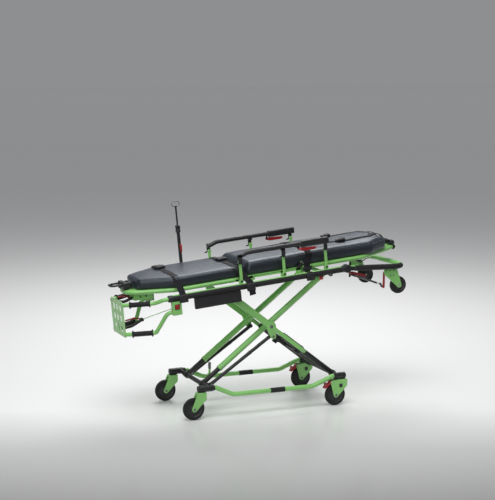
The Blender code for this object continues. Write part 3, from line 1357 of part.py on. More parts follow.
def make_pole(litter):
    axis = joint_empty("iv_pole_axis", litter, (POLE_U, 0, GUARD_PIVOT_W))
    y = POST_Y
    half = POST_THICKNESS / 2
    foot = GUARD_EYE * 0.6
    eye = rod((0, y - half, 0), (0, y + half, 0), GUARD_EYE, 16)
    stem = plate(rectangle((-POST_HALF_WIDTH * 0.9, 0), (POST_HALF_WIDTH * 0.9, 3 * foot)), y - half + GAP, y + half - GAP)
    lower = rod((0, y, 2.2 * foot), (0, y, POLE_LENGTH), POLE_RADIUS)
    collar = rod((0, y, POLE_LENGTH - POLE_COLLAR_LENGTH / 2), (0, y, POLE_LENGTH + POLE_COLLAR_LENGTH / 2), POLE_COLLAR_RADIUS)
    mouth = POLE_LENGTH + POLE_COLLAR_LENGTH / 2
    hole = rod((0, y, mouth - ROD_INSIDE - ROD_SHOWN * 0.9), (0, y, mouth + POLE_RADIUS), bore(ROD_RADIUS))
    pin_hole = rod((0, y - 2 * half, 0), (0, y + 2 * half, 0), bore(GUARD_PIN))
    part("iv_pole_lower", "black_paint", axis, [lower, collar, stem, eye], [hole, pin_hole])
    tip = mouth + ROD_SHOWN
    inner = rod((0, y, mouth - ROD_INSIDE), (0, y, tip), ROD_RADIUS)
    ring = [(math.cos(t) * HOOK_RADIUS, y, tip + HOOK_RADIUS * 0.8 + math.sin(t) * HOOK_RADIUS) for t in hook_turns()]
    part("iv_pole_upper", "black_paint", axis, [inner, tube(ring, HOOK_WIRE, 8)])


def hook_turns():
    """Angles of the open ring at the pole's tip."""
    start, end, steps = math.radians(-90), math.radians(210), 12
    return [start + (end - start) * i / steps for i in range(steps + 1)]


# Loading hoop: its own frame starts on the knuckle, with +x along the hoop


def make_hoop(litter):
    axis = joint_empty("loading_hoop_axis", litter, (KNUCKLE_U, 0, 0), HOOP_DIP)
    tube_start = KNUCKLE_RADIUS + FACE * 4
    path = rounded(
        [
            (tube_start, -RAIL_Y, 0),
            (HOOP_LENGTH, -RAIL_Y, 0),
            (HOOP_LENGTH, RAIL_Y, 0),
            (tube_start, RAIL_Y, 0),
        ],
        HOOP_BEND,
        5,
    )
    solids = [tube(path, HOOP_RADIUS)]
    cuts = []
    axle = (LOADING_AXLE_REACH, -LOADING_AXLE_DROP)
    bar_axis = (SAFETY_BAR_REACH, -SAFETY_BAR_DROP)
    wheel_y = WHEEL_PLATE_Y - WHEEL_PLATE_THICKNESS / 2 - WHEEL_PLAY - LOADING_WHEEL_WIDTH / 2
    outline = hull(
        circle(axle, AXLE_BOSS)
        + rectangle((WHEEL_PLATE_REACH, -HOOP_RADIUS * 3), (WHEEL_PLATE_REACH + WHEEL_PLATE_LENGTH, -HOOP_RADIUS / 3))
    )
    for side, sign in NEAR_FAR.items():
        split = sign * (RAIL_Y + GAP + FACE / 2)
        outer = sign * (RAIL_Y + KNUCKLE_WIDTH)
        solids.append(rod((0, split, 0), (0, outer, 0), KNUCKLE_RADIUS, 16))
        ys = sorted((split + sign * FACE, outer - sign * FACE * 4))
        rise = HOOP_RADIUS * 0.8
        solids.append(block((KNUCKLE_RADIUS / 2, ys[0], -rise), (HOOP_CHEEK_LENGTH, ys[1], rise)))
        plate_in = sign * (WHEEL_PLATE_Y - WHEEL_PLATE_THICKNESS / 2)
        plate_out = sign * (WHEEL_PLATE_Y + WHEEL_PLATE_THICKNESS / 2)
        solids.append(plate(outline, plate_in, plate_out))
        pin_end = sign * (wheel_y - LOADING_WHEEL_WIDTH / 2 - WHEEL_PLAY)
        solids.append(rod((axle[0], plate_out + sign * FACE * 4, axle[1]), (axle[0], pin_end, axle[1]), AXLE_RADIUS))
        arm_in = plate_in - sign * (FACE * 2 + SAFETY_ARM_THICKNESS)
        pin_out = plate_out - sign * FACE * 2
        solids.append(rod((bar_axis[0], pin_out, bar_axis[1]), (bar_axis[0], arm_in, bar_axis[1]), SAFETY_PIN))
        past = sign * KNUCKLE_PIN
        cuts.append(rod((0, split - past, 0), (0, outer + past, 0), bore(KNUCKLE_PIN)))
        hub = joint_empty(f"loading_wheel_{side}_frame", axis, (0, sign * wheel_y, 0))
        make_wheel(f"loading_wheel_{side}", hub, axle, LOADING_WHEEL_DIAMETER / 2, LOADING_WHEEL_WIDTH, AXLE_RADIUS)
    part("loading_hoop", "green_paint", axis, solids, cuts)
    make_safety_bar(axis, bar_axis)


def make_safety_bar(hoop, bar_axis):
    """The bail between the wheel plates that catches the vehicle's hook."""
    axis = joint_empty("safety_bar_axis", hoop, (bar_axis[0], 0, bar_axis[1]))
    outer = WHEEL_PLATE_Y - WHEEL_PLATE_THICKNESS / 2 - FACE
    inner = outer - SAFETY_ARM_THICKNESS
    solids = [rod((0, -outer + GAP, -SAFETY_BAR_LENGTH), (0, outer - GAP, -SAFETY_BAR_LENGTH), SAFETY_ROD)]
    arm = hull(circle((0, 0), SAFETY_ARM_HALF) + circle((0, -SAFETY_BAR_LENGTH), SAFETY_ARM_HALF))
    cuts = []
    for sign in NEAR_FAR.values():
        solids.append(plate(arm, sign * inner, sign * outer))
        past = SAFETY_ARM_THICKNESS
        cuts.append(rod((0, sign * (inner - past), 0), (0, sign * (outer + past), 0), bore(SAFETY_PIN)))
    part("safety_bar", "black_paint", axis, solids, cuts)


def build():
    root = joint_empty("cot", None, (-MIDDLE_X, 0, 0))
    make_yoke("foot_yoke", FOOT_PIVOT_X, FOOT_STEM_X, root, strut_lugs())
    make_yoke("head_yoke", HEAD_PIVOT_X, HEAD_STEM_X, root)
    for side, sign in NEAR_FAR.items():
        make_base_tube(side, sign, root)
        for end in ("foot", "head"):
            make_caster(end, side, sign, root)
    make_bump_post(root)
    make_leg_a(root)
    leg_b = joint_empty("leg_b_axis", root, (HEAD_PIVOT_X, 0, PIVOT_HEIGHT), LEG_ANGLE)
    make_leg_b_lower(leg_b)
    make_leg_b_upper(leg_b)
    make_struts(root)
    litter = joint_empty("litter_frame", root, (0, 0, RAIL_HEIGHT), -LITTER_TILT)
    for side, sign in NEAR_FAR.items():
        make_side_rail(side, sign, litter)
        make_guard(side, sign, litter)
    make_head_cross(litter)
    make_side_panel(litter)
    make_seat_deck(litter)
    make_leg_section(litter)
    make_back_section(litter)
    make_seat_cushion(litter)
    make_handle_frame(litter)
    make_buttons(litter)
    make_grips(litter)
    make_lower_release(litter)
    make_pole(litter)
    make_hoop(litter)


clear_scene()
PARTS = make_collection("ambulance_cot")
CUTTERS = make_collection("cutters")
SHADERS = {name: make_material(name) for name in MATERIALS}
build()
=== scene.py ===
"""Looks of the ambulance cot: finer pieces, cushions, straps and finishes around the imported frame."""

import math

import bmesh
import bpy
from mathutils import Matrix, Vector, noise
from mathutils.bvhtree import BVHTree


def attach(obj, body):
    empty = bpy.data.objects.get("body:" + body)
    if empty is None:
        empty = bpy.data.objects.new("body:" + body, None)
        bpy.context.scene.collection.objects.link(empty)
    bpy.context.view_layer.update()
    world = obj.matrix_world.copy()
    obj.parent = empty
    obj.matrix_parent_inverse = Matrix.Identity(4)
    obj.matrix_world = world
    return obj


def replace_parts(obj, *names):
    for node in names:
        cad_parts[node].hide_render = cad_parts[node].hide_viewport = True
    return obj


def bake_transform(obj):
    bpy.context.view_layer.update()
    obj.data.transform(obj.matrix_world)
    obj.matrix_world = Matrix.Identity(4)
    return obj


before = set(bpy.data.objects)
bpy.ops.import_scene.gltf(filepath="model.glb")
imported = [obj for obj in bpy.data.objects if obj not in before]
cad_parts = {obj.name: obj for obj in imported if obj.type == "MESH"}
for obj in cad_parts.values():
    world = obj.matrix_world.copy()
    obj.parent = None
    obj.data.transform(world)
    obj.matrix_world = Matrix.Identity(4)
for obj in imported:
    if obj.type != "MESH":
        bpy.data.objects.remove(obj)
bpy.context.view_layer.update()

# Sizes in metres: those of the part's source, and the finer ones that only the looks have

GAP = 0.0003
FACE = 0.0006
MIDDLE_X = 0.04337017

WHEEL_DIAMETER = 0.150
WHEEL_WIDTH = 0.032
WHEEL_PLAY = 0.003
CASTER_TRAIL = 0.053
HALF_TRACK = 0.280
FOOT_STEM_X = -0.470
HEAD_STEM_X = 0.574
AXLE_BOSS = 0.018
CHEEK_THICKNESS = 0.005
BRIDGE_THICKNESS = 0.020
CHEEK_FRONT = 0.033
CHEEK_BACK = 0.030
CHEEK_DEPTH = 0.045
PEDAL_PIVOT_BACK = 0.084
PEDAL_PIVOT_DROP = 0.0175
PEDAL_EAR = 0.011
PEDAL_EYE = 0.008
PEDAL_LENGTH = 0.050
PEDAL_THICKNESS = 0.010
PEDAL_DROP = 0.036
PEDAL_RIBS = 4
PEDAL_RIB_START = 0.024
PEDAL_RIB_PITCH = 0.009
PEDAL_RIB_LIFT = 0.0062
PEDAL_RIB_RADIUS = 0.0016
FORK_WINDOW_LOW = 0.056
FORK_WINDOW_HIGH = 0.030
STEM_COLLAR = [(0.0195, -0.003), (0.0205, -0.001), (0.0205, 0.0004)]

PIVOT_HEIGHT = 0.205
YOKE_RADIUS = 0.015
YOKE_BLOCK_RADIUS = 0.022
YOKE_BLOCK_END = 0.024
BASE_TUBE_RADIUS = 0.016
BASE_TUBE_HEIGHT = 0.148
BASE_RAMP_FOOT = 0.145
BASE_RAMP_HEAD = 0.170
BASE_TUBE_STUB = 0.022
BASE_BEND = 0.060
TAPE_SPAN = (0.032, 0.139)
BUMP_POST_X = -0.190
BUMP_POST_RADIUS = 0.010
BUMP_POST_HEIGHT = 0.075

FOOT_PIVOT_X = -0.410
HEAD_PIVOT_X = 0.545
CROSS_HEIGHT = 0.575
LEG_SLEEVE_RADIUS = 0.0225
LEG_SLEEVE_WIDTH = 0.036
LEG_A_Y = 0.146
LEG_A_RADIUS = 0.020
LEG_A_INNER_RADIUS = 0.016
LEG_A_SHOWN = 0.155
LEG_A_REACH = 0.550
ROLLER_RADIUS = 0.015
ROLLER_WIDTH = 0.018
ROLLER_SHAFT = 0.009
LEG_B_Y = 0.186
LEG_B_RADIUS = 0.018
LEG_B_TUBE = 0.350
LEG_B_REACH = 0.360
BAR_INNER_Y = 0.207
BAR_THICKNESS = 0.014
BAR_OUTER_Y = BAR_INNER_Y + BAR_THICKNESS
BAR_HALF_WIDTH = 0.0225
BAR_HEAD_RADIUS = 0.024
BRACKET_RADIUS = 0.034
TONGUE_LENGTH = 0.310
TONGUE_HALF_WIDTH = 0.014
GUIDE_LENGTH = 0.185
GUIDE_WALL = 0.0052
WEB_START = 0.090
WEB_END = 0.032
WEB_THICKNESS = 0.006
WEB_RISE = 0.014
SHROUD_START = 0.032
SHROUD_END = 0.250
SHROUD_EAR = 0.100
SHROUD_THICKNESS = 0.024
SHROUD_SIDE_GAP = 0.026
SHROUD_RIBS = 7
SHROUD_RIB_START = 0.115
SHROUD_RIB_PITCH = 0.018
SHROUD_RIB_HALF = 0.004
SHROUD_RIB_PROUD = 0.001
SHROUD_RIB_SHARE = 0.92
STRUT_Y = 0.180
STRUT_RADIUS = 0.012
STRUT_FOOT_REACH = 0.048
STRUT_PIN = 0.006
STRUT_EYE = 0.013
STRUT_LUG_THICKNESS = 0.010
STRUT_LUG_ALONG = -0.054
STRUT_LUG_PERP = -0.045
STRUT_BOSS = 0.012

LITTER_TILT = math.radians(5.57)
RAIL_HEIGHT = 0.893
RAIL_Y = 0.281
RAIL_RADIUS = 0.021
RAIL_FOOT_U = -0.700
KNUCKLE_U = 0.605
KNUCKLE_RADIUS = 0.028
KNUCKLE_WIDTH = 0.022
HEAD_CROSS_U = 0.430
HEAD_CROSS_RADIUS = 0.013
LUG_THICKNESS = 0.008
LUG_RADIUS = 0.020
LUG_TAB = 0.070
TRACK_START_U = 0.470
TRACK_END_U = 0.715
TRACK_CLEARANCE = 0.013
TRACK_THICKNESS = 0.006
STOP_U = 0.406
STOP_HALF = 0.012
STOP_HEIGHT = 0.024
STOP_BASE_HALF = (0.015, 0.014)
PANEL_FOOT_U = -0.520
PANEL_LENGTH = 0.330
PANEL_HEIGHT = 0.075
PANEL_THICKNESS = 0.022
PANEL_BORDER = 0.006
PANEL_BORDER_DEPTH = 0.004
PANEL_BOLT_INSET = 0.03
PANEL_BOLT_DROP = 0.016

SEAT_FOOT_U = -0.118
SEAT_HEAD_U = 0.270
SEAT_DECK_W = 0.057
DECK_THICKNESS = 0.006
FLANGE_THICKNESS = 0.006
FLANGE_DROP = 0.012
SECTION_TUBE_RADIUS = 0.015
SECTION_HALF_WIDTH = 0.228
LEG_HINGE_U = -0.134
LEG_FRAME_W = 0.042
LEG_TAPER_U = -0.620
LEG_END_U = -0.905
LEG_END_HALF_WIDTH = 0.095
BACK_HINGE_U = 0.290
BACK_HINGE_W = 0.085
BACK_FRAME_W = 0.050
BACK_TAPER_U = 0.770
BACK_END_U = 1.090
BACK_END_HALF_WIDTH = 0.080
SECTION_BEND = 0.110
SECTION_EYE = 0.014
SECTION_EYE_WIDTH = 0.008
RELEASE_BOX_LENGTH = 0.130
RELEASE_BOX_WIDTH = 0.110
RELEASE_BOX_HEIGHT = 0.076
RELEASE_BOX_INSET = 0.045

MATTRESS_HALF_WIDTH = 0.243
MATTRESS_FOOT_U = -0.845
MATTRESS_FOOT_HALF_WIDTH = 0.118
MATTRESS_HEAD_U = 1.000
MATTRESS_HEAD_HALF_WIDTH = 0.140
MATTRESS_HEAD_TAPER_U = 0.830
MATTRESS_LEG_TOP = 0.138
MATTRESS_SEAT_TOP = 0.158
MATTRESS_BACK_TOP = 0.163
MATTRESS_CROWN = 0.010
MATTRESS_DRAW_IN = 0.008
MATTRESS_JOINT = 0.004
LEG_NOTCH_ANGLE = math.radians(13)

PLATE_U = -0.968
PLATE_THICKNESS = 0.005
PLATE_HALF_WIDTH = 0.130
PLATE_HEIGHT = 0.242
PLATE_CORNER = 0.030
PLATE_SHEET = 0.0025
LOW_CORNER = 0.008
SLOT_WIDTH = 0.024
SLOT_HEIGHT = 0.042
SLOT_PITCH_Y = 0.066
SLOT_PITCH_W = 0.068
HANDLE_RADIUS = 0.0135
HANDLE_BEND = 0.035
HANDLE_END_Y = 0.112
HANDLE_LEAD = 0.030
LOWER_HANDLE_LEAD = 0.020
LOWER_KNEE_INSET = 0.012
GRIP_START_U = -0.800
GRIP_START_Y = 0.205
GRIP_END_U = -0.925
GRIP_END_Y = 0.143
UPPER_GRIP_W = -0.025
LOWER_GRIP_W = -0.222
GRIP_RADIUS = 0.0172
GRIP_FLANGE = 0.0235
GRIP_FLANGE_WIDTH = 0.010
GRIP_BORE = 0.0142
GRIP_RIBS = 12
GRIP_RIB = [(-0.0012, 0.15), (0, 0.35), (0, 0.8), (-0.0012, 0.98)]
BLOCK_U = -0.648
BLOCK_LENGTH = 0.062
BLOCK_HEIGHT = 0.090
BLOCK_WIDTH = 0.036
BUTTON_SIZE = 0.028
BUTTON_PROUD = 0.005
BUTTON_DROP = 0.036
BRACE_RADIUS = 0.0025
RELEASE_GRIP_RADIUS = 0.010
RELEASE_BOW = 0.012
RELEASE_LEVER_RADIUS = 0.0055
RELEASE_EYE = 0.012
RELEASE_SPREAD = math.radians(13)
UPPER_RELEASE_LENGTH = 0.085
UPPER_RELEASE_Y = 0.020
LOWER_RELEASE_U = -0.815
LOWER_RELEASE_W = -0.160
LOWER_RELEASE_Y = 0.035
LOWER_RELEASE_DROP = 0.038
PULL_HANDLE_Y = 0.020
PULL_HANDLE_WIDTH = 0.080
PULL_HANDLE_REACH = 0.092
PULL_HANDLE_RADIUS = 0.007
PULL_HANDLE_BEND = 0.030
PULL_HANDLE_RISE = 0.050
PULL_POST_RADIUS = 0.011

GUARD_POST_U = (-0.175, 0.140, 0.455)
GUARD_PIVOT_W = 0.036
GUARD_POST_LENGTH = 0.130
GUARD_RAIL_W = 0.223
GUARD_RAIL_RADIUS = 0.015
GUARD_EYE = 0.0135
POST_HALF_WIDTH = 0.010
POST_THICKNESS = 0.010
POST_Y = 0.2795
STAND_THICKNESS = 0.012
GUARD_BRACKET_WIDTH = 0.010
GUARD_BRACKET_HALF = 0.013
GUARD_GRIP_LENGTH = 0.190
GUARD_GRIP_HEIGHT = 0.044
GUARD_GRIP_WIDTH = 0.034
GUARD_FOOT_BEND = 0.060
GUARD_FOOT_SLOPE = 0.060
TRIGGER_LENGTH = 0.125
TRIGGER_HEIGHT = 0.010
TRIGGER_BELLY = 0.014
TRIGGER_WIDTH = 0.020
TRIGGER_TRAVEL_GAP = 0.012
TRIGGER_RIBS = 5
TRIGGER_RIB_START = 0.030
TRIGGER_RIB_PITCH = 0.018
TRIGGER_RIB_RADIUS = 0.0035

POLE_U = -0.390
POLE_RADIUS = 0.0115
POLE_LENGTH = 0.320
POLE_COLLAR_RADIUS = 0.017
POLE_COLLAR_LENGTH = 0.055
ROD_RADIUS = 0.006
ROD_SHOWN = 0.135
ROD_INSIDE = 0.170
HOOK_RADIUS = 0.016
HOOK_SPAN = 0.056
HOOK_WIRE = 0.003
POLE_LEVER = (0.158, 0.212)

HOOP_DIP = math.radians(6.8)
HOOP_LENGTH = 0.470
HOOP_RADIUS = 0.018
HOOP_BEND = 0.110
HOOP_CHEEK_LENGTH = 0.060
WHEEL_PLATE_REACH = 0.300
WHEEL_PLATE_LENGTH = 0.098
WHEEL_PLATE_THICKNESS = 0.006
WHEEL_PLATE_Y = 0.265
LOADING_WHEEL_DIAMETER = 0.122
LOADING_WHEEL_WIDTH = 0.030
LOADING_AXLE_REACH = 0.424
LOADING_AXLE_DROP = 0.136
SAFETY_BAR_REACH = 0.304
SAFETY_BAR_DROP = 0.046
SAFETY_BAR_LENGTH = 0.100
SAFETY_ARM_THICKNESS = 0.006
SAFETY_ARM_HALF = 0.008
SAFETY_ROD = 0.005
SAFETY_SLEEVE = 0.0022
SAFETY_JOG = 0.014
SAFETY_JOG_INSET = 0.040
TRIP_INSET = 0.040
TRIP_START = (-0.085, -0.054)
TRIP_ELBOW = (-0.004, -0.070)
TRIP_END = (0.104, -0.094)

# Holes of the release box, drawn as black discs of painted shade, and rivets of the wheel plates, as places
# on their faces

BOX_HOLE_SHADE_DISCS = [(0.03, 0.028), (0.065, 0.030), (0.10, 0.028), (0.045, 0.055), (0.085, 0.055)]
HOOP_RIVETS = [(0.318, -0.030), (0.345, -0.030), (0.375, -0.030), (0.352, -0.066), (0.376, -0.066)]

STRAP_WIDTH = 0.045
STRAP_THICKNESS = 0.0024
HARNESS_ROUTE = [(0.880, 0.108), (0.655, 0.118), (0.560, 0.075), (0.470, 0.012)]
HARNESS_BUCKLE = 1
ANCHOR_WING = 0.043
HARNESS_WIDTH = 0.038
STRAP_LIFT = STRAP_THICKNESS * 0.7
STRAP_TOP_POINTS = 22
STRAP_SIDE_SHARE = 0.30
STERNUM_END_U = 0.37
ROUTE_STEPS = 5
DOWN_STEPS = 6

# Rounding of edges, and radius and height of bolt heads

EASE_KEEN = 0.0002
EASE_HAIR = 0.0005
EASE_TRIM = 0.0006
EASE_FINE = 0.001
EASE_RIM = 0.0012
EASE_SHEET = 0.0015
EASE_PLATE = 0.002
EASE_SOFT = 0.003
EASE_BLOCK = 0.004
EASE_BUCKLE = 0.005
EASE_ROUND = 0.008
AXLE_BOLT = (0.0065, 0.0045)
HINGE_BOLT = (0.004, 0.003)
YOKE_BOLT = (0.005, 0.003)
CROSS_BOLT = (0.0085, 0.006)
LUG_BOLT = (0.006, 0.004)
TONGUE_BOLT = (0.0045, 0.003)
STAND_BOLT = (0.005, 0.004)
KNUCKLE_BOLT = (0.009, 0.005)
PIVOT_BOLT = (0.008, 0.004)
PANEL_BOLT = (0.003, 0.002)
HOOP_BOLT = (0.009, 0.003)
WHEEL_BOLT = (0.0065, 0.004)
SHARP_ANGLE = 38
SOFT_ANGLE = 60
STRAP_ANGLE = 50

SIDES = {"near": -1, "far": 1}

# Frames of the moving groups, at rest

CROSS_X = (FOOT_PIVOT_X + HEAD_PIVOT_X) / 2
LEG_RISE = CROSS_HEIGHT - PIVOT_HEIGHT
LEG_ANGLE = math.atan2(LEG_RISE, CROSS_X - FOOT_PIVOT_X)
LEG_LENGTH = math.hypot(LEG_RISE, CROSS_X - FOOT_PIVOT_X)


def placed(x, z, turn):
    return Matrix.Translation((x, 0, z)) @ Matrix.Rotation(turn, 4, "Y")


BASE = Matrix.Translation((-MIDDLE_X, 0, 0))
LITTER = BASE @ placed(0, RAIL_HEIGHT, -LITTER_TILT)
LEG_A = BASE @ placed(FOOT_PIVOT_X, PIVOT_HEIGHT, -LEG_ANGLE)
LEG_B = BASE @ placed(HEAD_PIVOT_X, PIVOT_HEIGHT, LEG_ANGLE)
HOOP = LITTER @ placed(KNUCKLE_U, 0, HOOP_DIP)


def to_litter(x, z):
    point = LITTER.inverted() @ Vector((x - MIDDLE_X, 0, z))
    return point.x, point.z


def beyond_crossing(reach, towards):
    x = CROSS_X + towards * reach * math.cos(LEG_ANGLE)
    return to_litter(x, CROSS_HEIGHT + reach * math.sin(LEG_ANGLE))


LITTER_PIVOT = beyond_crossing(LEG_B_REACH, -1)
ROLLER_PLACE = beyond_crossing(LEG_A_REACH, 1)


# Materials


NOISE_LOW = 0.3
NOISE_HIGH = 0.7
BUMP_DISTANCE = 0.001
COAT_ROUGHNESS = 0.25
ROUGH_DRIFT_SCALE = 7
WHITE = (1.0, 1.0, 1.0)


def noise_node(nodes, links, place, scale, detail=3.0):
    texture = nodes.new("ShaderNodeTexNoise")
    texture.inputs["Scale"].default_value = scale
    texture.inputs["Detail"].default_value = detail
    links.new(place, texture.inputs["Vector"])
    return texture.outputs["Fac"]


def grain_height(nodes, links, place, kind, scale):
    """A height from 0 to 1 for the bump: fine noise, leather cells or a woven pattern."""
    if kind == "noise":
        return noise_node(nodes, links, place, scale, 4.0)
    if kind == "cells":
        cells = nodes.new("ShaderNodeTexVoronoi")
        cells.feature = "SMOOTH_F1"
        cells.inputs["Scale"].default_value = scale
        links.new(place, cells.inputs["Vector"])
        return cells.outputs["Distance"]
    heights = []
    for direction in ("X", "Y"):
        wave = nodes.new("ShaderNodeTexWave")
        wave.bands_direction = direction
        wave.inputs["Scale"].default_value = scale
        links.new(place, wave.inputs["Vector"])
        heights.append(wave.outputs["Fac"])
    both = nodes.new("ShaderNodeMath")
    both.operation = "MULTIPLY"
    links.new(heights[0], both.inputs[0])
    links.new(heights[1], both.inputs[1])
    return both.outputs[0]


def make_material(name, colour, rough, drift=0.10, rough_drift=0.08, grain=("noise", 900, 0.08), metal=0.0,
                  coat=0.0, sheen=0.0, specular=0.5, drift_scale=5.0, tint=WHITE, sheen_tint=WHITE):
    material = bpy.data.materials.new(name)
    material.use_nodes = True
    nodes, links = material.node_tree.nodes, material.node_tree.links
    shader = nodes["Principled BSDF"]
    coordinates = nodes.new("ShaderNodeTexCoord")
    place = coordinates.outputs["Object"]
    ramp = nodes.new("ShaderNodeValToRGB")
    low, high = ramp.color_ramp.elements
    low.position, high.position = NOISE_LOW, NOISE_HIGH
    low.color = (*[c * (1 - drift) for c in colour], 1)
    high.color = (*[min(1, c * (1 + drift)) for c in colour], 1)
    links.new(noise_node(nodes, links, place, drift_scale), ramp.inputs["Fac"])
    links.new(ramp.outputs["Color"], shader.inputs["Base Color"])
    spread = nodes.new("ShaderNodeMapRange")
    ends = {
        "From Min": NOISE_LOW,
        "From Max": NOISE_HIGH,
        "To Min": rough - rough_drift,
        "To Max": rough + rough_drift,
    }
    for socket, value in ends.items():
        spread.inputs[socket].default_value = value
    links.new(noise_node(nodes, links, place, drift_scale * ROUGH_DRIFT_SCALE), spread.inputs["Value"])
    links.new(spread.outputs["Result"], shader.inputs["Roughness"])
    kind, scale, strength = grain
    bump = nodes.new("ShaderNodeBump")
    bump.inputs["Strength"].default_value = strength
    bump.inputs["Distance"].default_value = BUMP_DISTANCE
    weave_place = coordinates.outputs["UV"] if kind == "weave" else place
    links.new(grain_height(nodes, links, weave_place, kind, scale), bump.inputs["Height"])
    links.new(bump.outputs["Normal"], shader.inputs["Normal"])
    finish = {
        "Metallic": metal,
        "Coat Weight": coat,
        "Coat Roughness": COAT_ROUGHNESS,
        "Sheen Weight": sheen,
        "Specular IOR Level": specular,
        "Specular Tint": (*tint, 1),
        "Sheen Tint": (*sheen_tint, 1),
    }
    for socket, value in finish.items():
        shader.inputs[socket].default_value = value
    return material


MATERIALS = {
    "green": make_material(
        "green_powder_coat", (0.215, 0.505, 0.142), 0.38, 0.06, 0.07, ("noise", 700, 0.10), coat=0.3
    ),
    "black": make_material(
        "black_powder_coat", (0.009, 0.009, 0.010), 0.42, 0.2, 0.08, ("noise", 900, 0.15)
    ),
    "rubber": make_material(
        "black_tread", (0.011, 0.011, 0.012), 0.70, 0.25, 0.08, ("noise", 500, 0.25), specular=0.35
    ),
    "plastic": make_material(
        "black_moulding", (0.011, 0.011, 0.013), 0.48, 0.15, 0.08, ("noise", 1400, 0.20)
    ),
    "red": make_material("red_moulding", (0.29, 0.010, 0.013), 0.36, 0.10, 0.06, ("noise", 1100, 0.10)),
    "vinyl": make_material(
        "black_vinyl", (0.006, 0.007, 0.010), 0.40, 0.12, 0.05, ("cells", 420, 0.15), specular=0.75,
        drift_scale=3.0,
        tint=(0.80, 0.90, 1.0), sheen=0.08, sheen_tint=(0.50, 0.68, 1.0),
    ),
    "webbing": make_material(
        "black_webbing", (0.010, 0.010, 0.013), 0.68, 0.15, 0.08, ("weave", 160, 0.6), sheen=0.04,
        specular=0.18
    ),
    "steel": make_material(
        "zinc_steel", (0.52, 0.52, 0.53), 0.32, 0.08, 0.08, ("noise", 600, 0.08), metal=1.0
    ),
    "grey": make_material("grey_moulding", (0.15, 0.16, 0.155), 0.5, 0.08, 0.06, ("noise", 1100, 0.12)),
    "white": make_material("white_cap", (0.78, 0.78, 0.77), 0.45, 0.03, 0.06, ("noise", 900, 0.08)),
}


# Outlines and paths


def circle(centre, radius, steps=32):
    return [
        (
            centre[0] + radius * math.cos(math.tau * i / steps),
            centre[1] + radius * math.sin(math.tau * i / steps)
        )
        for i in range(steps)
    ]


def rectangle(low, high):
    return [(low[0], low[1]), (high[0], low[1]), (high[0], high[1]), (low[0], high[1])]


def turn_of(a, b, c):
    return (b[0] - a[0]) * (c[1] - a[1]) - (b[1] - a[1]) * (c[0] - a[0])


def hull(points):
    """The convex outline of flat points, anticlockwise."""
    points = sorted(set(points))
    halves = []
    for run in (points, points[::-1]):
        chain = []
        for point in run:
            while len(chain) > 1 and turn_of(chain[-2], chain[-1], point) <= 1e-12:
                chain.pop()
            chain.append(point)
        halves.append(chain[:-1])
    return halves[0] + halves[1]


def inset(outline, distance):
    """The outline of a convex or nearly convex shape, drawn in by a distance."""
    area = sum(a[0] * b[1] - a[1] * b[0] for a, b in zip(outline, outline[1:] + outline[:1]))
    way = 1 if area > 0 else -1
    result = []
    for before, point, after in zip(outline[-1:] + outline[:-1], outline, outline[1:] + outline[:1]):
        run_in = Vector((point[0] - before[0], point[1] - before[1])).normalized()
        run_out = Vector((after[0] - point[0], after[1] - point[1])).normalized()
        inward = Vector((-(run_in.y + run_out.y), run_in.x + run_out.x)) * way
        if inward.length < 1e-9:
            result.append(point)
            continue
        inward.normalize()
        share = max(0.5, abs(inward.dot(Vector((-run_in.y, run_in.x)))))
        result.append((point[0] + inward.x * distance / share, point[1] + inward.y * distance / share))
    return result


def bend(points, radius, steps=7):
    """The path with its inner corners rounded."""
    points = [Vector(p) for p in points]
    path = [points[0]]
    for before, corner, after in zip(points, points[1:], points[2:]):
        back, ahead = before - corner, after - corner
        angle = back.angle(ahead)
        if angle > math.pi - 0.01:
            path.append(corner)
            continue
        reach = min(radius / math.tan(angle / 2), back.length * 0.49, ahead.length * 0.49)
        start, end = corner + back.normalized() * reach, corner + ahead.normalized() * reach
        for i in range(steps + 1):
            t = i / steps
            path.append(start.lerp(corner, t).lerp(corner.lerp(end, t), t))
    path.append(points[-1])
    return path


def beyond(origin, through, distance):
    origin, through = Vector(origin), Vector(through)
    return through + (through - origin).normalized() * distance


def square_pairs(path):
    """Two directions square to the path at each point, turned as little as possible."""
    last = len(path) - 1
    tangents = [(path[min(i + 1, last)] - path[max(i - 1, 0)]).normalized() for i in range(last + 1)]
    side = tangents[0].orthogonal().normalized()
    pairs = []
    for tangent in tangents:
        side = (side - tangent * side.dot(tangent)).normalized()
        pairs.append((side, tangent.cross(side)))
    return pairs


def cross_axes(centre, axis):
    """The centre and axis as vectors, with two directions square to the axis."""
    centre, axis = Vector(centre), Vector(axis).normalized()
    side = axis.orthogonal().normalized()
    return centre, axis, side, axis.cross(side)


def linked(name, shape, materials, sharp):
    """A scene object of a bmesh, which it frees, with its sharp edges kept."""
    bmesh.ops.recalc_face_normals(shape, faces=shape.faces)
    data = bpy.data.meshes.new(name)
    shape.to_mesh(data)
    shape.free()
    for material in materials:
        data.materials.append(MATERIALS[material])
    data.set_sharp_from_angle(angle=math.radians(sharp))
    obj = bpy.data.objects.new(name, data)
    bpy.context.scene.collection.objects.link(obj)
    return obj


